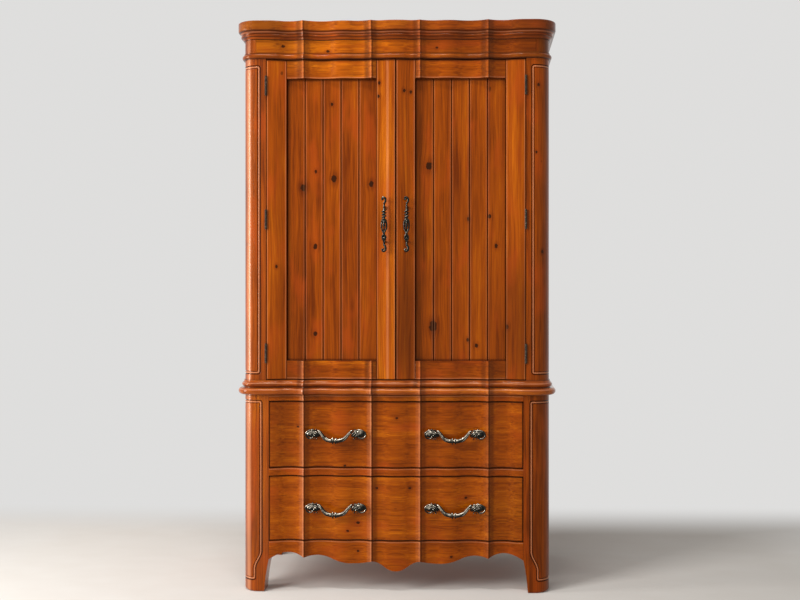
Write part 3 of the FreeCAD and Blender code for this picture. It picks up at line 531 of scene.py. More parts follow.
def post(inner, low, high, line_x, groove_low, groove_high, foot=False):
    """A left-hand post: a sheet wrapped round its section, pressed in along the routed line."""
    flat = ROUND_START - inner
    arc_length = CORNER_RADIUS * math.pi / 2
    line_front = line_x - inner
    line_side = flat + arc_length + SIDE_LINE - CORNER_RADIUS
    end = flat + arc_length + POST_BACK - FRONT - CORNER_RADIUS
    middle_columns = 22
    columns = [0, 0.002] + [line_front + rule for rule in ROUTED]
    first, last = columns[-1], line_side + ROUTED[0]
    columns += [first + (last - first) * i / middle_columns for i in range(1, middle_columns)]
    columns += [line_side + rule for rule in ROUTED if line_side + rule < end] + [end]
    rows = [groove_low + rule for rule in ROUTED] + [groove_high + rule for rule in ROUTED]
    rows += [low, high, (groove_low + groove_high) / 2]
    if foot:
        rows += [0.001, 0.0025, 0.0045, 0.007, 0.01, 0.014, 0.022] + [0.062 + 0.0055 * i for i in range(20)]
    rows = sorted(rows)

    def place(column, z):
        """The point at a distance round the section and a height, and its mark: above 0 painted shade in the
        quirks, below 0 a painted highlight on the bead.
        """
        share = z / TAPER_TOP
        swing = SWING * (1 - soft((z - SWING_LOW) / SWING_RISE)) if foot else 0.0
        taper = (TAPER + TAPER_CURVE * share) * (1 - share) if foot and share < 1 else 0.0
        front_rim, side_rim = line_front + ROUTED[0], line_side + ROUTED[0]
        if column < front_rim:
            share = column / front_rim
            walked = column + swing * share + taper * (1 - share)
        elif column < side_rim:
            past = max(0, column - line_front - ROUTED[-1])
            walked = column + swing * (1 - past / (side_rim - line_front))
        else:
            walked = column
        half_width, half_height = (line_side - line_front) / 2, (groove_high - groove_low) / 2
        off_side = abs(column - (line_front + line_side) / 2) - half_width + BEAD_TURN
        off_end = abs(z - (groove_low + groove_high) / 2) - half_height + BEAD_TURN
        distance = math.hypot(max(off_side, 0), max(off_end, 0)) + min(max(off_side, off_end), 0) - BEAD_TURN
        if walked < flat:
            point, out = facing(inner + walked)
        elif walked < flat + arc_length:
            point, out = rounding((walked - flat) / CORNER_RADIUS)
        else:
            out = Vector((1, 0, 0))
            point = Vector((SIDE, FRONT + CORNER_RADIUS + walked - flat - arc_length, 0))
        depth = routed_depth(distance)
        reached = abs(distance)
        glaze = soft(((DARK_OUTSIDE if distance > 0 else DARK_INSIDE) - reached) / DARK_FADE)
        if reached < BEAD_HALF:
            glaze = -soft(1 - reached / BEAD_HALF)
        if foot and z < FOOT_EASE:
            eased = FOOT_EASE - math.sqrt(max(FOOT_EASE**2 - (FOOT_EASE - z) ** 2, 0))
            depth += eased * (0.35 + 0.65 * out.x)
        point = point - out * depth
        return Vector((-point.x, point.y, z)), glaze

    mesh = bmesh.new()
    last_column = len(columns)

    def wrapped(column, z):
        if column in (-1, last_column):
            corner, _ = place(0, z)
            return Vector((corner.x, POST_BACK, z)), 0.0
        return place(columns[column], z)

    glaze_and_light_layer = mesh.verts.layers.float.new("glaze")
    sheet(mesh, list(range(-1, last_column + 1)), rows, wrapped, glaze_and_light_layer)
    bmesh.ops.remove_doubles(mesh, verts=mesh.verts, dist=WELD)
    bmesh.ops.holes_fill(mesh, edges=mesh.edges, sides=0)
    return mesh


POST_KNOTS = {
    "left": [(1.3, -0.556, 0.004)],
    "right": [(1.891, 0.532, 0.005), (1.64, 0.524, 0.004), (1.27, 0.546, 0.005)],
}
# A painted highlight down the rounded corner of the left posts.
POST_HIGHLIGHTS = {"left": [("x", -0.552, 0.0125, 0.52)], "right": []}
# The middle of the bead: its place across the front, and its lower and upper height.
POST_LINES = {"upper": (0.512, 0.818, 1.96), "lower": (0.505, 0.0486, 0.709)}
for storey, seed, tones in (("upper", 6, (0.36, 0.3)), ("lower", 7, (0.48, 0.24))):
    for side, way, tone, coat in (("left", 1, tones[0], 0.9), ("right", -1, tones[1], 0.4)):
        post_wood = pine(
            f"{side}_{storey}_post", "z", tone=tone, seed=seed + way, knots=POST_KNOTS[side],
            rubs=POST_HIGHLIGHTS[side], routed=True, rough=0.3, coat=coat,
        )
        node = f"left_{storey}_post"
        inner = -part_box(node)[1].x
        piece = post(inner, *heights(node), *POST_LINES[storey], foot=storey == "lower")
        bmesh.ops.scale(piece, vec=(way, 1, 1), verts=piece.verts)
        node = f"{side}_{storey}_post"
        finished(f"{side}_{storey}_column", piece, post_wood, "case", "pine_posts", node, crease=50)

# -------- case sides, back and floor of the cabinet
# Edge-glued pine boards between the front and rear posts, thin boards across the back, and the moulded board
# on which the cabinet stands.
leg_wood = pine("side", "z", tone=0.46, seed=8)
back_wood = pine("back", "z", tone=0.72, seed=9, rough=0.6, board=0.12)
side_wood = pine("side_boards", "z", tone=0.46, seed=8.5)
return_wood = pine("return", "y", tone=0.46, seed=10)


def dress(finish, slot, *nodes):
    """Gives plain solids their finish."""
    for name in nodes:
        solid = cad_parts[name]
        solid.data.materials.clear()
        solid.data.materials.append(finish)


dress(side_wood, "pine_frame", "left_upper_side", "right_upper_side", "left_lower_side", "right_lower_side")
dress(leg_wood, "pine_frame", "upper_rear_posts", "rear_legs")
dress(return_wood, "pine_moulding", "frieze_returns")
dress(back_wood, "back_board", "upper_back_panel", "lower_back_panel")

floor_under, floor_top = heights("cabinet_floor")
floor_steps = [(0, 0), (0.005, 0), (0.0052, 0.0035)]
floor_steps += arc(0.004, 0.0118, 0.008, -75, 60, 9)
floor_steps += [(0.0052, 0.0215), (0.0035, 0.025), (0.003, 0.029)]
# A painted highlight along the crest of the bead, and painted shade along the underside and in the gap at
# the top.
floor_wood = pine(
    "cabinet_floor", "x", tone=0.52, seed=11, ridges=CROWN,
    rubs=[("z", floor_under + 0.0165, 0.0022, 0.45)],
    burns=[("z", floor_under + 0.001, 0.0035, 0.85), ("z", floor_top, 0.0035, 0.7)], mitred=True, coat=0.9,
)
floor_board = moulding(floor_steps, floor_under, board=True)
finished("cabinet_floor_board", floor_board, floor_wood, "case", "pine_moulding", "cabinet_floor")

# -------- inside of the cabinet
# Top board, a fixed shelf for the television and one on pins, of plain sanded pine, and the strip that the
# doors close against.
inside_wood = pine("inside", "x", tone=0.95, seed=12, rough=0.5)
dress(inside_wood, "pine_inside", "case_top", "tv_shelf", "adjustable_shelf", "door_stop_strip")

# -------- doors
# Framed doors of solid pine: stiles and rails sawn to the wave, and five flat planks with chamfered joints
# set well back in grooves. The edges are eased by hand. Dark lines at the joints and gaps are partly dark
# joints and partly painted shade, with painted shade on the planks beside the stiles and along the rails,
# and painted highlights along the eased edges and chamfers.
door_low, door_high = heights("left_door_outer_stile")
door_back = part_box("left_door_outer_stile")[1].y
stile_outer, stile_out_in = [-corner.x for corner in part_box("left_door_outer_stile")]
stile_in_out, stile_inner = [-corner.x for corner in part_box("left_door_inner_stile")]
RAIL = 0.07
PLANK_FACE = FRONT + 0.03
PLANK_THICK = 0.012
PLANKS = 5
# What the planks leave between them, and how far they reach into the rails.
PLANK_GAP, TONGUE = 0.0004, 0.006
CHAMFER = 0.003
DOOR_KNOTS = {
    "left": {
        "planks": [
            (1.512, -0.351, 0.01), (1.545, -0.235, 0.0105), (1.572, -0.303, 0.0052), (1.525, -0.094, 0.0088),
            (1.291, -0.305, 0.0081), (0.962, -0.305, 0.0075), (1.825, -0.242, 0.005),
        ],
        "inner_stile": [(1.901, -0.062, 0.005), (1.851, -0.065, 0.005)],
        "outer_stile": [(1.215, -0.447, 0.005)],
    },
    "right": {
        "planks": [
            (1.592, 0.123, 0.0119), (1.393, 0.271, 0.0056), (1.403, 0.35, 0.0063), (1.292, 0.375, 0.0063),
            (0.992, 0.139, 0.015), (0.94, 0.269, 0.0056), (0.919, 0.301, 0.0063),
        ],
        "inner_stile": [(1.871, 0.032, 0.005), (1.866, 0.056, 0.005)],
        "outer_stile": [(0.99, 0.415, 0.0063)],
    },
}
# A broad band of painted shade across the stiles of the right door, below its handle.
DARK_STRETCHES = {"left": [], "right": [("z", 1.02, 0.34, 0.42)]}
DOOR_TONES = {
    "left": {
        "outer_stile": 0.5, "inner_stile": 0.68, "top_rail": 0.66, "bottom_rail": 0.52, "planks": 0.4,
    },
    "right": {
        "outer_stile": 0.56, "inner_stile": 0.42, "top_rail": 0.5, "bottom_rail": 0.46, "planks": 0.43,
    },
}
for side, way, seed in (("left", -1, 20), ("right", 1, 30)):
    body = f"{side}_door"
    knots, tones = DOOR_KNOTS[side], DOOR_TONES[side]
    # Painted shade at the bottom and top of the stiles, deepest at the top under the bead.
    ends = [("z", door_low, 0.004, 0.6), ("z", door_high, 0.007, 0.9)]
    for piece, near, far, shift in (
        ("outer_stile", stile_out_in, stile_outer, 1), ("inner_stile", stile_inner, stile_in_out, 2)
    ):
        left, right = sorted((way * near, way * far))
        # Painted highlights along both eased edges and down the swell of the left inner stile, and dark
        # lines at the edges: painted shade in the gaps.
        wood = pine(
            f"{side}_{piece}", "z", tone=tones[piece], seed=seed + shift, knots=knots[piece],
            rubs=[("x", left + 0.004, 0.002, 0.26), ("x", right - 0.004, 0.002, 0.26),
                  ("x", -0.031, 0.0075, 0.2)],
            burns=ends + DARK_STRETCHES[side] + marks("x", (left, right), 0.0026, 0.8),
        )
        stile = shaped_board(left, right, door_low, door_high, door_back)
        finished(f"{side}_{piece}", stile, wood, body, "pine_frame", f"{body}_{piece}")
    left, right = sorted((way * stile_in_out, way * stile_out_in))
    for piece, low, high, shift in (
        ("top_rail", door_high - RAIL, door_high, 3), ("bottom_rail", door_low, door_low + RAIL, 4)
    ):
        # Painted highlights and painted shade at the ridges, a painted highlight along the lower eased edge,
        # dark lines at the joints and gaps that are partly painted shade, painted shadow under the bead, and
        # broad darker stretches near the outer ends.
        wood = pine(
            f"{side}_{piece}", "x", tone=tones[piece], seed=seed + shift, ridges=CROWN,
            rubs=[("z", low + 0.0044, 0.0022, 0.35)],
            burns=marks("x", (left, right), 0.003, 0.7) + marks("z", (low, high), 0.003, 0.7)
            + marks("z", [door_high], 0.007, 0.9) + marks("x", (-0.4, 0.4), 0.07, 0.3),
        )
        rail = shaped_board(left, right, low, high, door_back)
        finished(f"{side}_{piece}", rail, wood, body, "pine_frame", f"{body}_{piece}")
    pitch = (right - left) / PLANKS
    size = (pitch - PLANK_GAP, PLANK_THICK, door_high - door_low - 2 * (RAIL - TONGUE))
    planks = bmesh.new()
    for number in range(PLANKS):
        middle = Vector((
            left + pitch * (number + 0.5), PLANK_FACE + PLANK_THICK / 2, (door_low + door_high) / 2
        ))
        matrix = Matrix.LocRotScale(middle, None, size)
        made = bmesh.ops.create_cube(planks, size=1, matrix=matrix)["verts"]
        upright = [
            edge for edge in {edge for vert in made for edge in vert.link_edges}
            if edge.calc_length() > pitch and all(vert.co.y < middle.y for vert in edge.verts)
        ]
        bmesh.ops.bevel(
            planks, geom=upright, offset=CHAMFER, segments=2, affect="EDGES", profile=0.5, material=-1,
        )
    seams = [left + pitch * number for number in range(1, PLANKS)]
    # Painted highlights on the chamfers either side of each seam; dark seams, partly dark joints and partly
    # painted shade; and painted shade beside the stiles and along both rails.
    wear_and_highlight = marks("x", seams, 0.0018, 0.2, 0.0042) + marks("x", seams, 0.0018, 0.16, -0.0054)
    dark = marks("x", seams, 0.003, 1, -0.0006) + marks("x", (left, right), 0.006, 0.75)
    dark += [("z", door_low + RAIL, 0.008, 0.6), ("z", door_high - RAIL, 0.01, 0.6)]
    plank_wood = pine(
        f"{side}_planks", "z", tone=tones["planks"], seed=seed + 5, knots=knots["planks"], board=pitch,
        rubs=wear_and_highlight, burns=dark,
    )
    finished(f"{side}_planks", planks, plank_wood, body, "pine_planks", f"{body}_planks")

# -------- seam of the doors
# Thin near-black strips set into the meeting edges of the doors, a little behind their faces: painted
# shade, a dark sheet that stands for the shade in the seam.
seam_shade = Finish(bpy.data.materials.new("black_felt"))
x, y, z = seam_shade.place()
seam_shade_noise = seam_shade.noise(x * 700, y * 700, z * 700)
seam_shade_colour = seam_shade.mix(seam_shade_noise, (0.004, 0.0025, 0.002, 1), (0.014, 0.009, 0.007, 1))
seam_shade_cloth = seam_shade.surface(Base_Color=seam_shade_colour, Roughness=0.95, Specular_IOR_Level=0.1)
SEAM_SHADE_GAP, SEAM_SHADE_THICK, SEAM_SHADE_BEHIND = 0.0001, 0.008, 0.01
for side, way in (("left", -1), ("right", 1)):
    strip = bmesh.new()
    size = (stile_inner - SEAM_SHADE_GAP, SEAM_SHADE_THICK, door_high - door_low - 0.004)
    across = way * (SEAM_SHADE_GAP + stile_inner) / 2
    middle = Vector((across, FRONT + set_back(0) + SEAM_SHADE_BEHIND, (door_low + door_high) / 2))
    bmesh.ops.create_cube(strip, size=1, matrix=Matrix.LocRotScale(middle, None, size))
    finished(f"{side}_felt", strip, seam_shade_cloth, f"{side}_door", "pine_frame")

# -------- hinges and screws
# Butt hinges of dark bronzed steel with a pin through three knuckles, let into the posts and the stiles. The
# screws that hold the cast hardware from behind, and the shelf pins, are zinc-plated.
hinge = Finish(bpy.data.materials.new("bronzed_steel"))
x, y, z = hinge.place()
rub = hinge.noise(x * 180, y * 180, z * 180, 3)
hinge_colour = hinge.mix(rub.rise(0.45, 0.75), (0.035, 0.026, 0.02, 1), (0.16, 0.12, 0.085, 1))
hinge_metal = hinge.surface(Base_Color=hinge_colour, Metallic=0.9, Roughness=0.38 + rub * 0.2)
leaf_nodes = [f"{body}_hinge_leaves" for body in ("case", "left_door", "right_door")]
dress(hinge_metal, "hinge_metal", "hinge_pins", *leaf_nodes)
screw = Finish(bpy.data.materials.new("zinc_plate"))
x, y, z = screw.place()
film = screw.noise(x * 300, y * 300, z * 300)
screw_colour = screw.mix(film, (0.42, 0.42, 0.4, 1), (0.62, 0.61, 0.58, 1))
screw_metal = screw.surface(Base_Color=screw_colour, Metallic=1, Roughness=0.3 + film * 0.15)
screw_nodes = [f"{side}_door_handle_screws" for side in ("left", "right")]
screw_nodes += [f"{drawer}_drawer_pull_screws" for drawer in ("top", "bottom")]
dress(screw_metal, "screw_metal", "shelf_pins", *screw_nodes)

# -------- chest top and rails
# The moulded top of the chest with its full round nose, and the two rails between the lower posts, all of
# pine and flush with the drawers.
chest_low, chest_top = heights("chest_top")
NOSE = 0.0128
nose_profile = [(0, chest_low)] + arc(0.025 - NOSE, (chest_low + chest_top) / 2, NOSE, -90, 90, 12)
nose_profile += [(0, chest_top)]
# Stronger painted highlights and painted shade at the ridges of the chest top, its rails, the apron and the
# drawers.
CHEST = ridge_marks(0.38, 0.72)
# A painted highlight along the upper curve of the nose, and painted shade under it.
nose_wood = pine(
    "chest_top", "x", tone=0.6, seed=13, ridges=CHEST, burns=[("z", chest_low, 0.005, 0.8)],
    rubs=[("z", (chest_low + chest_top) / 2 + 0.007, 0.0024, 0.45)], mitred=True, coat=1,
)
nose = moulding(nose_profile, board=True)
finished("chest_top_board", nose, nose_wood, "case", "pine_moulding", "chest_top")

lower_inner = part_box("right_lower_post")[0].x
for node, seed in (("chest_top_rail", 14), ("drawer_divider_rail", 15)):
    low, high = heights(node)
    # A painted highlight along the top edge, and painted shade in the gaps above and below.
    wood = pine(
        f"{node}", "x", tone=0.5, seed=seed, ridges=CHEST, rubs=[("z", high - 0.005, 0.0022, 0.35)],
        burns=marks("z", (low, high), 0.0035, 0.8),
    )
    rail = shaped_board(-lower_inner, lower_inner, low, high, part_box(node)[1].y, ease=0.0015)
    finished(f"{node}_board", rail, wood, "case", "pine_drawer_front", node)

# -------- apron
# The shaped rail under the drawers, sawn below to arches, lobes and a pendant in the middle, and in front to
# the same wave as the drawers.
apron_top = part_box("apron")[1].z
# From the post inwards: where a curve of the lower edge starts, its height there, its rise (+) or drop (-).
SCALLOPS = [
    (lower_inner, 0.12, 0.021), (0.345, 0.126, 0.009), (0.245, 0.122, -0.014), (0.091, 0.113, 0.004),
    (0.043, 0.092, -0.015), (-0.043, 0.092, 0),
]


def apron_edge(x):
    """The height of the lower edge at x."""
    x = abs(x)
    for (start, start_height, rise), (end, end_height, _) in zip(SCALLOPS, SCALLOPS[1:]):
        if x >= end:
            share = (start - x) / (start - end)
            return start_height + (end_height - start_height) * share + 4 * rise * share * (1 - share)
    return SCALLOPS[-1][1]


# A painted highlight along the top edge, and painted shade in the gap under the drawer.
apron_wood = pine(
    "apron", "x", tone=0.5, seed=16, knots=[(-0.142, 0.15, 0.004), (0.207, 0.131, 0.004)],
    ridges=CHEST, rubs=[("z", apron_top - 0.0052, 0.0022, 0.35)], burns=[("z", apron_top, 0.0035, 0.8)],
)
apron = shaped_board(-lower_inner, lower_inner, apron_edge, apron_top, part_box("apron")[1].y, ease=0.0016)
finished("apron_board", apron, apron_wood, "case", "pine_drawer_front", "apron")

# -------- drawers
# Solid pine fronts on plain boxes. The fronts are sawn to the wave, with eased edges; the boxes slide on
# wooden runners.
DRAWER_KNOTS = {
    "top": [(-0.367, 0.615, 0.004), (0.004, 0.649, 0.004), (-0.191, 0.47, 0.004)],
    "bottom": [
        (0.052, 0.387, 0.004), (-0.071, 0.387, 0.004), (0.262, 0.35, 0.0045), (-0.142, 0.256, 0.005),
        (-0.18, 0.226, 0.004),
    ],
}
DRAWER_TONES = {"top": 0.49, "bottom": 0.6}
# Broad darker stretches towards the left of the top drawer and the right of the bottom one.
DARK_ENDS = {"top": [("x", -0.42, 0.12, 0.25)], "bottom": [("x", 0.44, 0.14, 0.24)]}
drawer_boards = ["drawer_runners", "drawer_guides", "drawer_stops"]
for drawer, seed in (("top", 17), ("bottom", 18)):
    body = f"{drawer}_drawer"
    corner, far_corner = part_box(f"{body}_front")
    # Dark lines round each front: painted shade in the gaps about it.
    burns = marks("z", heights(f"{body}_front"), 0.005, 0.85)
    burns += marks("x", (corner.x, far_corner.x), 0.005, 0.9)
    wood = pine(
        f"{body}", "x", tone=DRAWER_TONES[drawer], seed=seed, knots=DRAWER_KNOTS[drawer], ridges=CHEST,
        burns=burns + DARK_ENDS[drawer],
    )
    front = shaped_board(corner.x, far_corner.x, corner.z, far_corner.z, far_corner.y)
    finished(f"{body}_board", front, wood, body, "pine_drawer_front", f"{body}_front")
    drawer_boards += [f"{body}_sides", f"{body}_back", f"{body}_bottom"]
box_wood = pine("box", "y", tone=0.95, seed=19, rough=0.55)
dress(box_wood, "pine_inside", *drawer_boards)

# -------- drawer pulls
# Cast bail pulls with a leaf at each end, darkened, and pale on the crests that face up, left and forward,
# towards the lamps: a painted highlight as well as patina rubbed off the high spots. Two screws through the
# drawer front hold each.
def swept(mesh, stops, wide_way, sides):
    """A ring carried through stops of (place, half width, half thickness), its width along a given way."""
    places = [place for place, _, _ in stops]
    matrices = []
    for number, (place, width, thick) in enumerate(stops):
        after, before = places[min(number + 1, len(places) - 1)], places[max(number - 1, 0)]
        run = (after - before).normalized()
        wide = Vector(wide_way) - run * run.dot(Vector(wide_way))
        wide.normalize()
        columns = Matrix((wide * width, run.cross(wide) * thick, run * 0.001)).transposed()
        matrices.append(Matrix.Translation(place) @ columns.to_4x4())
    made = bmesh.ops.create_circle(mesh, segments=sides, radius=1, matrix=matrices[0])["verts"]
    edges = list({edge for vert in made for edge in vert.link_edges})
    first = edges
    for before, after in zip(matrices, matrices[1:]):
        grown = bmesh.ops.extrude_edge_only(mesh, edges=edges)["geom"]
        edges = of_kind(grown, BMEdge)
        moved = of_kind(grown, BMVert)
        bmesh.ops.transform(mesh, matrix=after @ before.inverted(), verts=moved)
    for ring in (first, edges):
        bmesh.ops.edgeloop_fill(mesh, edges=ring)


def curve(points, count):
    """Places on a smooth line through the given points."""
    points = [Vector(point) for point in points]
    ends = [points[0] * 2 - points[1]] + points + [points[-1] * 2 - points[-2]]
    places = []
    for i in range(len(points) - 1):
        a, b, c, d = ends[i:i + 4]
        for j in range(count):
            t = j / count
            bend = (a * 2 - b * 5 + c * 4 - d) * t**2 + (b * 3 - a - c * 3 + d) * t**3
            places.append((b * 2 + (c - a) * t + bend) * 0.5)
    return places + [points[-1]]


# The points and sizes of the castings are in millimetres, and at turns a point into its place.
UP, ACROSS, OUT = (0, 0, 1), (1, 0, 0), (0, 1, 0)
LEAF_TIP = 0.12


def leaf(mesh, at, points, width, thick, wide_way=UP):
    """A leaf or strand that swells towards its middle and ends in a point."""
    places = curve([at(*point) for point in points], 5)
    stops = []
    for number, place in enumerate(places):
        share = number / (len(places) - 1)
        swell = LEAF_TIP + (1 - LEAF_TIP) * math.sin(math.pi * share**0.8) ** 0.75
        stops.append((place, width * swell / 1000, thick * swell / 1000))
    swept(mesh, stops, wide_way, 10)


def bar(mesh, at, points, wide_way=UP, sides=12, count=5, flatten=1):
    """A round bar along a smooth line through points, each with its radius as the last value."""
    radii = [radius for *_, radius in points]
    stops = []
    for number, place in enumerate(curve([at(*point[:-1]) for point in points], count)):
        step, share = divmod(number / count, 1)
        low, high = radii[int(step)], radii[min(int(step) + 1, len(radii) - 1)]
        radius = (low + (high - low) * share) / 1000
        stops.append((place, radius, radius * flatten))
    swept(mesh, stops, wide_way, sides)


def knob(mesh, at, point, size, segments=16, rings=10):
    matrix = Matrix.LocRotScale(at(*point), None, Vector(size) / 1000)
    bmesh.ops.create_uvsphere(mesh, u_segments=segments, v_segments=rings, radius=1, matrix=matrix)


# The way towards the lamps, up, left and forward, that the pale crests face.
LIGHT_AND_RUB_WAY = Vector((-0.42, -0.76, 0.5)).normalized()


def mark_lit_and_rubbed_crests(mesh, crests=1):
    """Marks how far each point of a casting faces up, left and forward, towards the lamps, up to a value on
    the crests: a painted highlight, and scuffed patina too.
    """
    bmesh.ops.recalc_face_normals(mesh, faces=mesh.faces)
    mesh.normal_update()
    layer = mesh.verts.layers.float.new("rub")
    for vert in mesh.verts:
        vert[layer] = vert.normal.dot(LIGHT_AND_RUB_WAY) * crests


patina = Finish(bpy.data.materials.new("aged_casting"))
x, y, z = patina.place()
cloud = patina.noise(x * 130, y * 130, z * 130)
grit = patina.noise(x * 900, y * 900, z * 900)
crest = patina.node("ShaderNodeAttribute", {"attribute_name": "rub"}, out="Fac")
# Pale where the crests face the lamps: a painted highlight, also standing for patina rubbed off the high
# spots.
wear_and_highlight = (crest + (cloud - 0.5) * 0.5).rise(0.74, 0.98)
metal_colour = patina.mix(grit.rise(0.35, 0.7), (0.006, 0.0065, 0.0055, 1), (0.026, 0.03, 0.024, 1))
metal_colour = patina.mix(wear_and_highlight, metal_colour, (0.6, 0.53, 0.42, 1))
bumps = {"Strength": 0.12, "Distance": 0.0006, "Height": grit + cloud}
relief = patina.node("ShaderNodeBump", sockets=bumps)
aged_metal = patina.surface(
    Base_Color=metal_colour, Metallic=0.95, Roughness=0.3 - wear_and_highlight * 0.06 + grit * 0.05, Normal=relief,
    Coat_Weight=0.35, Coat_Roughness=0.14, Coat_IOR=1.35,
)

# Outwards from the middle of the collar, up, forward of the ridges, and then the radius.
DROP = [
    (0, -20, 19, 7.2), (4, -20, 19.5, 7.2), (12, -19.6, 21, 8.2), (24, -17, 20.5, 7.4),
    (36, -10.5, 18.5, 6.2), (46, 0, 16, 5.6), (54, 9.5, 14, 5), (60, 15, 12, 4.2), (66, 18, 9.5, 2.6),
]
EDGE = [(18, -24.5, 23.5), (32, -19.5, 23.5), (43, -10, 21.5), (51, 1, 19), (58, 8, 16.5), (67, 10, 13)]
VOLUTE = [
    (68, 15, 10, 2.2), (80, 18.5, 12, 2.8), (96, 18, 13, 3.2), (108.5, 11, 13, 3.4), (111, 0, 12.5, 3.2),
    (104, -10, 12, 3), (92, -12, 11.5, 2.8), (84, -6, 11.5, 2.4), (85, 2, 12, 2.2), (92, 5, 13, 2.2),
    (96.5, 0.5, 13, 2),
]
FANS = [
    ((58, -6, 9), (67, 8, 14), (80, 16, 11), 3), ((63, -9.5, 9), (71, 3, 14), (85, 10, 11), 3),
    ((70, -12, 9), (76, -2, 14), (84, 4, 11), 2.4),
]
BUDS = [(70, -13.5, 7), (80, -14, 7), (72, 20, 7), (86, 21.5, 7)]
COLLAR_SHIFT, PULL_END = 5, 114
for drawer in ("top", "bottom"):
    body = f"{drawer}_drawer"
    middle = sum(heights(f"{body}_front")) / 2
    for side, centre in (("left", -0.222), ("right", 0.222)):
        pull = bmesh.new()
        for way, rim in ((-1, 13), (1, 11.6)):
            def at(u, w, stand):
                shift = COLLAR_SHIFT * (1 - u / PULL_END)
                return Vector((centre + (way * u - shift) / 1000, FRONT - stand / 1000, middle + w / 1000))

            bar(pull, at, DROP)
            leaf(pull, at, EDGE, 3, 2.6)
            bar(pull, at, VOLUTE, sides=10)
            for *points, width in FANS:
                leaf(pull, at, points, width, 3.2)
            for bud in BUDS:
                knob(pull, at, bud, (3.2, 5, 2.8), 10, 6)
            knob(pull, at, (84, 2, -1), (26, 6.5, 13))
            knob(pull, at, (64, 0, -2), (7.5, 13, 7.5))
            collar = [(3, rim - 3), (3.8, rim), (7.4, rim), (8.4, rim - 3)]
            ring = [(u, -20, 20.5, radius) for u, radius in collar]
            bar(pull, at, ring, sides=20, count=2, flatten=0.8)
        mark_lit_and_rubbed_crests(pull)
        piece = finished(f"{drawer}_{side}_pull", pull, aged_metal, body, "aged_metal", crease=60)
        if side == "left":
            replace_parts(piece, f"{body}_pulls")

# -------- door handles
# Cast upright handles: a stem on two feet, with a leaf, two strands that cross, and a scroll at each end, in
# the same darkened metal as the pulls. To the side, up, forward of the ridges, and then the radius.
STEM = [
    (0.6, 82, 17, 3.4), (0, 64, 18, 3.2), (0, 50, 19, 4.4), (0, 24, 20, 4.6), (0, -12, 19, 3),
    (0, -34, 20, 4.2), (0, -66, 18, 3.4), (0, -80, 17, 3.4),
]
STRAND = [
    (0, 23, 21, 2.4), (6.8, 15, 21.5, 3.2), (9.2, 0, 21.5, 3.4), (7.8, -17, 22, 3.2), (0, -34.5, 25, 3.2),
    (-6.2, -46, 21.5, 3), (-5.2, -56, 20.5, 2.8), (0, -66, 20.5, 2),
]
FOOT_SCROLL = [
    (0, -75, 17.5, 3.8), (5, -85, 18.5, 4.4), (4.2, -96, 18.5, 4.4), (-3, -100, 18, 4.2),
    (-6.2, -94, 17.5, 3.8), (-1.5, -90, 18.5, 3),
]
HEAD_SCROLL = [
    (1, 78, 17.5, 3.8), (5.2, 87, 18.5, 4.4), (4, 96.5, 18.5, 4.4), (-3.5, 100, 18, 4.4),
    (-6.8, 94.5, 17.5, 4.2), (-3, 90.5, 19, 3.6),
]
middle = sum(heights("left_door_handle")) / 2
for side in ("left", "right"):
    body = f"{side}_door"
    across = sum(corner.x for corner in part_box(f"{body}_handle")) / 2
    handle = bmesh.new()

    def at(u, w, stand):
        return Vector((across + u / 1000, FRONT - stand / 1000, middle + w / 1000))

    bar(handle, at, STEM, ACROSS)
    for height in (28, 39, 50):
        twist = [(-7.8, height - 4, 19, 2.6), (0, height, 24, 4), (7.8, height + 4, 19, 2.6)]
        bar(handle, at, twist, sides=10)
    for sign in (-1, 1):
        bar(handle, at, [(sign * u, *rest) for u, *rest in STRAND], ACROSS)
        for height, reach in ((10, 5.2), (-2, 5), (-54, 4.4)):
            barb = [(0, height + 8, 21.5), (sign * reach * 0.6, height, 24), (sign * reach, height - 8, 22)]
            leaf(handle, at, barb, 1.8, 1.6, ACROSS)
    leaf(handle, at, [(0, 18, 22), (0, -4, 25), (0, -26, 22)], 3.4, 3, ACROSS)
    knob(handle, at, (0, 58, 19), (5.2, 5.4, 2.6))
    knob(handle, at, (0, -70, 18.5), (5, 5.2, 2.6))
    bar(handle, at, FOOT_SCROLL, OUT)
    bar(handle, at, HEAD_SCROLL, OUT)
    for height in (64, -64):
        bar(handle, at, [(0, height, 18, 4.2), (0, height, 6, 4.2), (0, height, -8, 6)], ACROSS)
    mark_lit_and_rubbed_crests(handle, 0.9)
    finished(f"{side}_handle", handle, aged_metal, body, "aged_metal", f"{body}_handle", crease=60)

# -------- floor, light and camera
# A pale floor that fades into a pale backdrop, a large soft lamp at the front left, a narrow one at the left
# and one above, and a camera at the height of the waist, a little right of the middle.
WALL = (0.735, 0.73, 0.722, 1)
ground = Finish(bpy.data.materials.new("pale_floor"))
x, y, z = ground.place()
away = (x * x + y * y).math("SQRT")
# Far out the floor glows into the backdrop; near the case it also glows a little, painted light that
# lightens the shadow of the case.
fade = away.rise(1.2, 3.6).math("MAXIMUM", y.rise(0.55, 1.3)).math("MAXIMUM", 0.05)
plank = ground.noise(x * 5, y * 9, z, 3)
pale = ground.mix(plank, (0.64, 0.6, 0.55, 1), (0.69, 0.66, 0.617, 1))
matt = {"Base Color": pale, "Roughness": 0.9, "Specular IOR Level": 0.0}
lit = ground.node("ShaderNodeBsdfPrincipled", sockets=matt)
glow = ground.node("ShaderNodeEmission", sockets={"Color": WALL, "Strength": 1.0})
shown = ground.node("ShaderNodeMixShader", sockets={0: fade, 1: lit, 2: glow})
ground.node("ShaderNodeOutputMaterial", sockets={0: shown})
plane = bmesh.new()
bmesh.ops.create_grid(plane, x_segments=1, y_segments=1, size=20)
floor_data = bpy.data.meshes.new("floor")
plane.to_mesh(floor_data)
plane.free()
floor_data.materials.append(ground.owner)
floor = placed("floor", floor_data)
floor.location.z = -0.0008

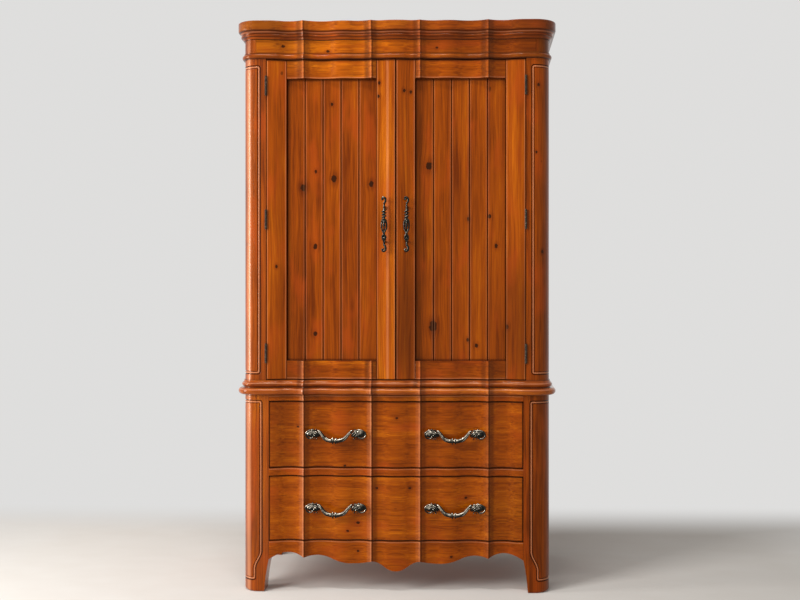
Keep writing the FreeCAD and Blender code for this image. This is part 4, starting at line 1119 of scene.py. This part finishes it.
world = bpy.data.worlds.new("studio")
bpy.context.scene.world = world
studio = Finish(world)
seen = studio.node("ShaderNodeLightPath", out="Is Camera Ray")
for ray in ("Is Glossy Ray", "Is Transmission Ray"):
    seen = seen.math("MAXIMUM", studio.node("ShaderNodeLightPath", out=ray))
ambient = studio.node("ShaderNodeBackground", sockets={"Color": (1, 0.985, 0.96, 1), "Strength": 0.33})
backdrop = studio.node("ShaderNodeBackground", sockets={"Color": WALL, "Strength": 1.0})
shown = studio.node("ShaderNodeMixShader", sockets={0: seen, 1: ambient, 2: backdrop})
studio.node("ShaderNodeOutputWorld", sockets={0: shown})

AIM = Vector((0, -0.1, 1.1))


def softbox(name, place, width, height, power):
    data = bpy.data.lights.new(name, "AREA")
    data.shape = "RECTANGLE"
    data.size, data.size_y, data.energy = width, height, power
    lamp = placed(name, data)
    lamp.location = place
    lamp.rotation_euler = (AIM - Vector(place)).to_track_quat("-Z", "Y").to_euler()
    return lamp


key_lamp = softbox("key_lamp", (-2.6, -2.6, 2.3), 1.4, 2, 118)
key_lamp.visible_glossy = False
softbox("side_lamp", (-3.5, -0.9, 1.4), 0.7, 2.2, 68)
softbox("top_lamp", (-0.5, -1.6, 4.4), 1.8, 0.35, 60)

CAMERA_DISTANCE = 4.0
CAMERA_RIGHT = 0.3
EYE_HEIGHT = 1.161
IMAGE_WIDTH, HORIZON_UP = 800, 19.1
MIDDLE_LEFT = 4.3
FOCAL_PIXELS = 1074.5
TURN = math.radians(1.3)
camera_data = bpy.data.cameras.new("camera")
camera_data.sensor_width = 36
camera_data.lens = FOCAL_PIXELS / IMAGE_WIDTH * camera_data.sensor_width
camera_data.shift_y = -HORIZON_UP / IMAGE_WIDTH
off_axis = math.tan(math.atan2(CAMERA_RIGHT, CAMERA_DISTANCE) - TURN)
camera_data.shift_x = (MIDDLE_LEFT - off_axis * FOCAL_PIXELS) / IMAGE_WIDTH
camera = placed("camera", camera_data)
camera.location = (CAMERA_RIGHT, FRONT - CAMERA_DISTANCE, EYE_HEIGHT)
camera.rotation_euler = (math.radians(90), 0, TURN)
bpy.context.scene.camera = camera
bpy.context.scene.view_settings.view_transform = "Standard"
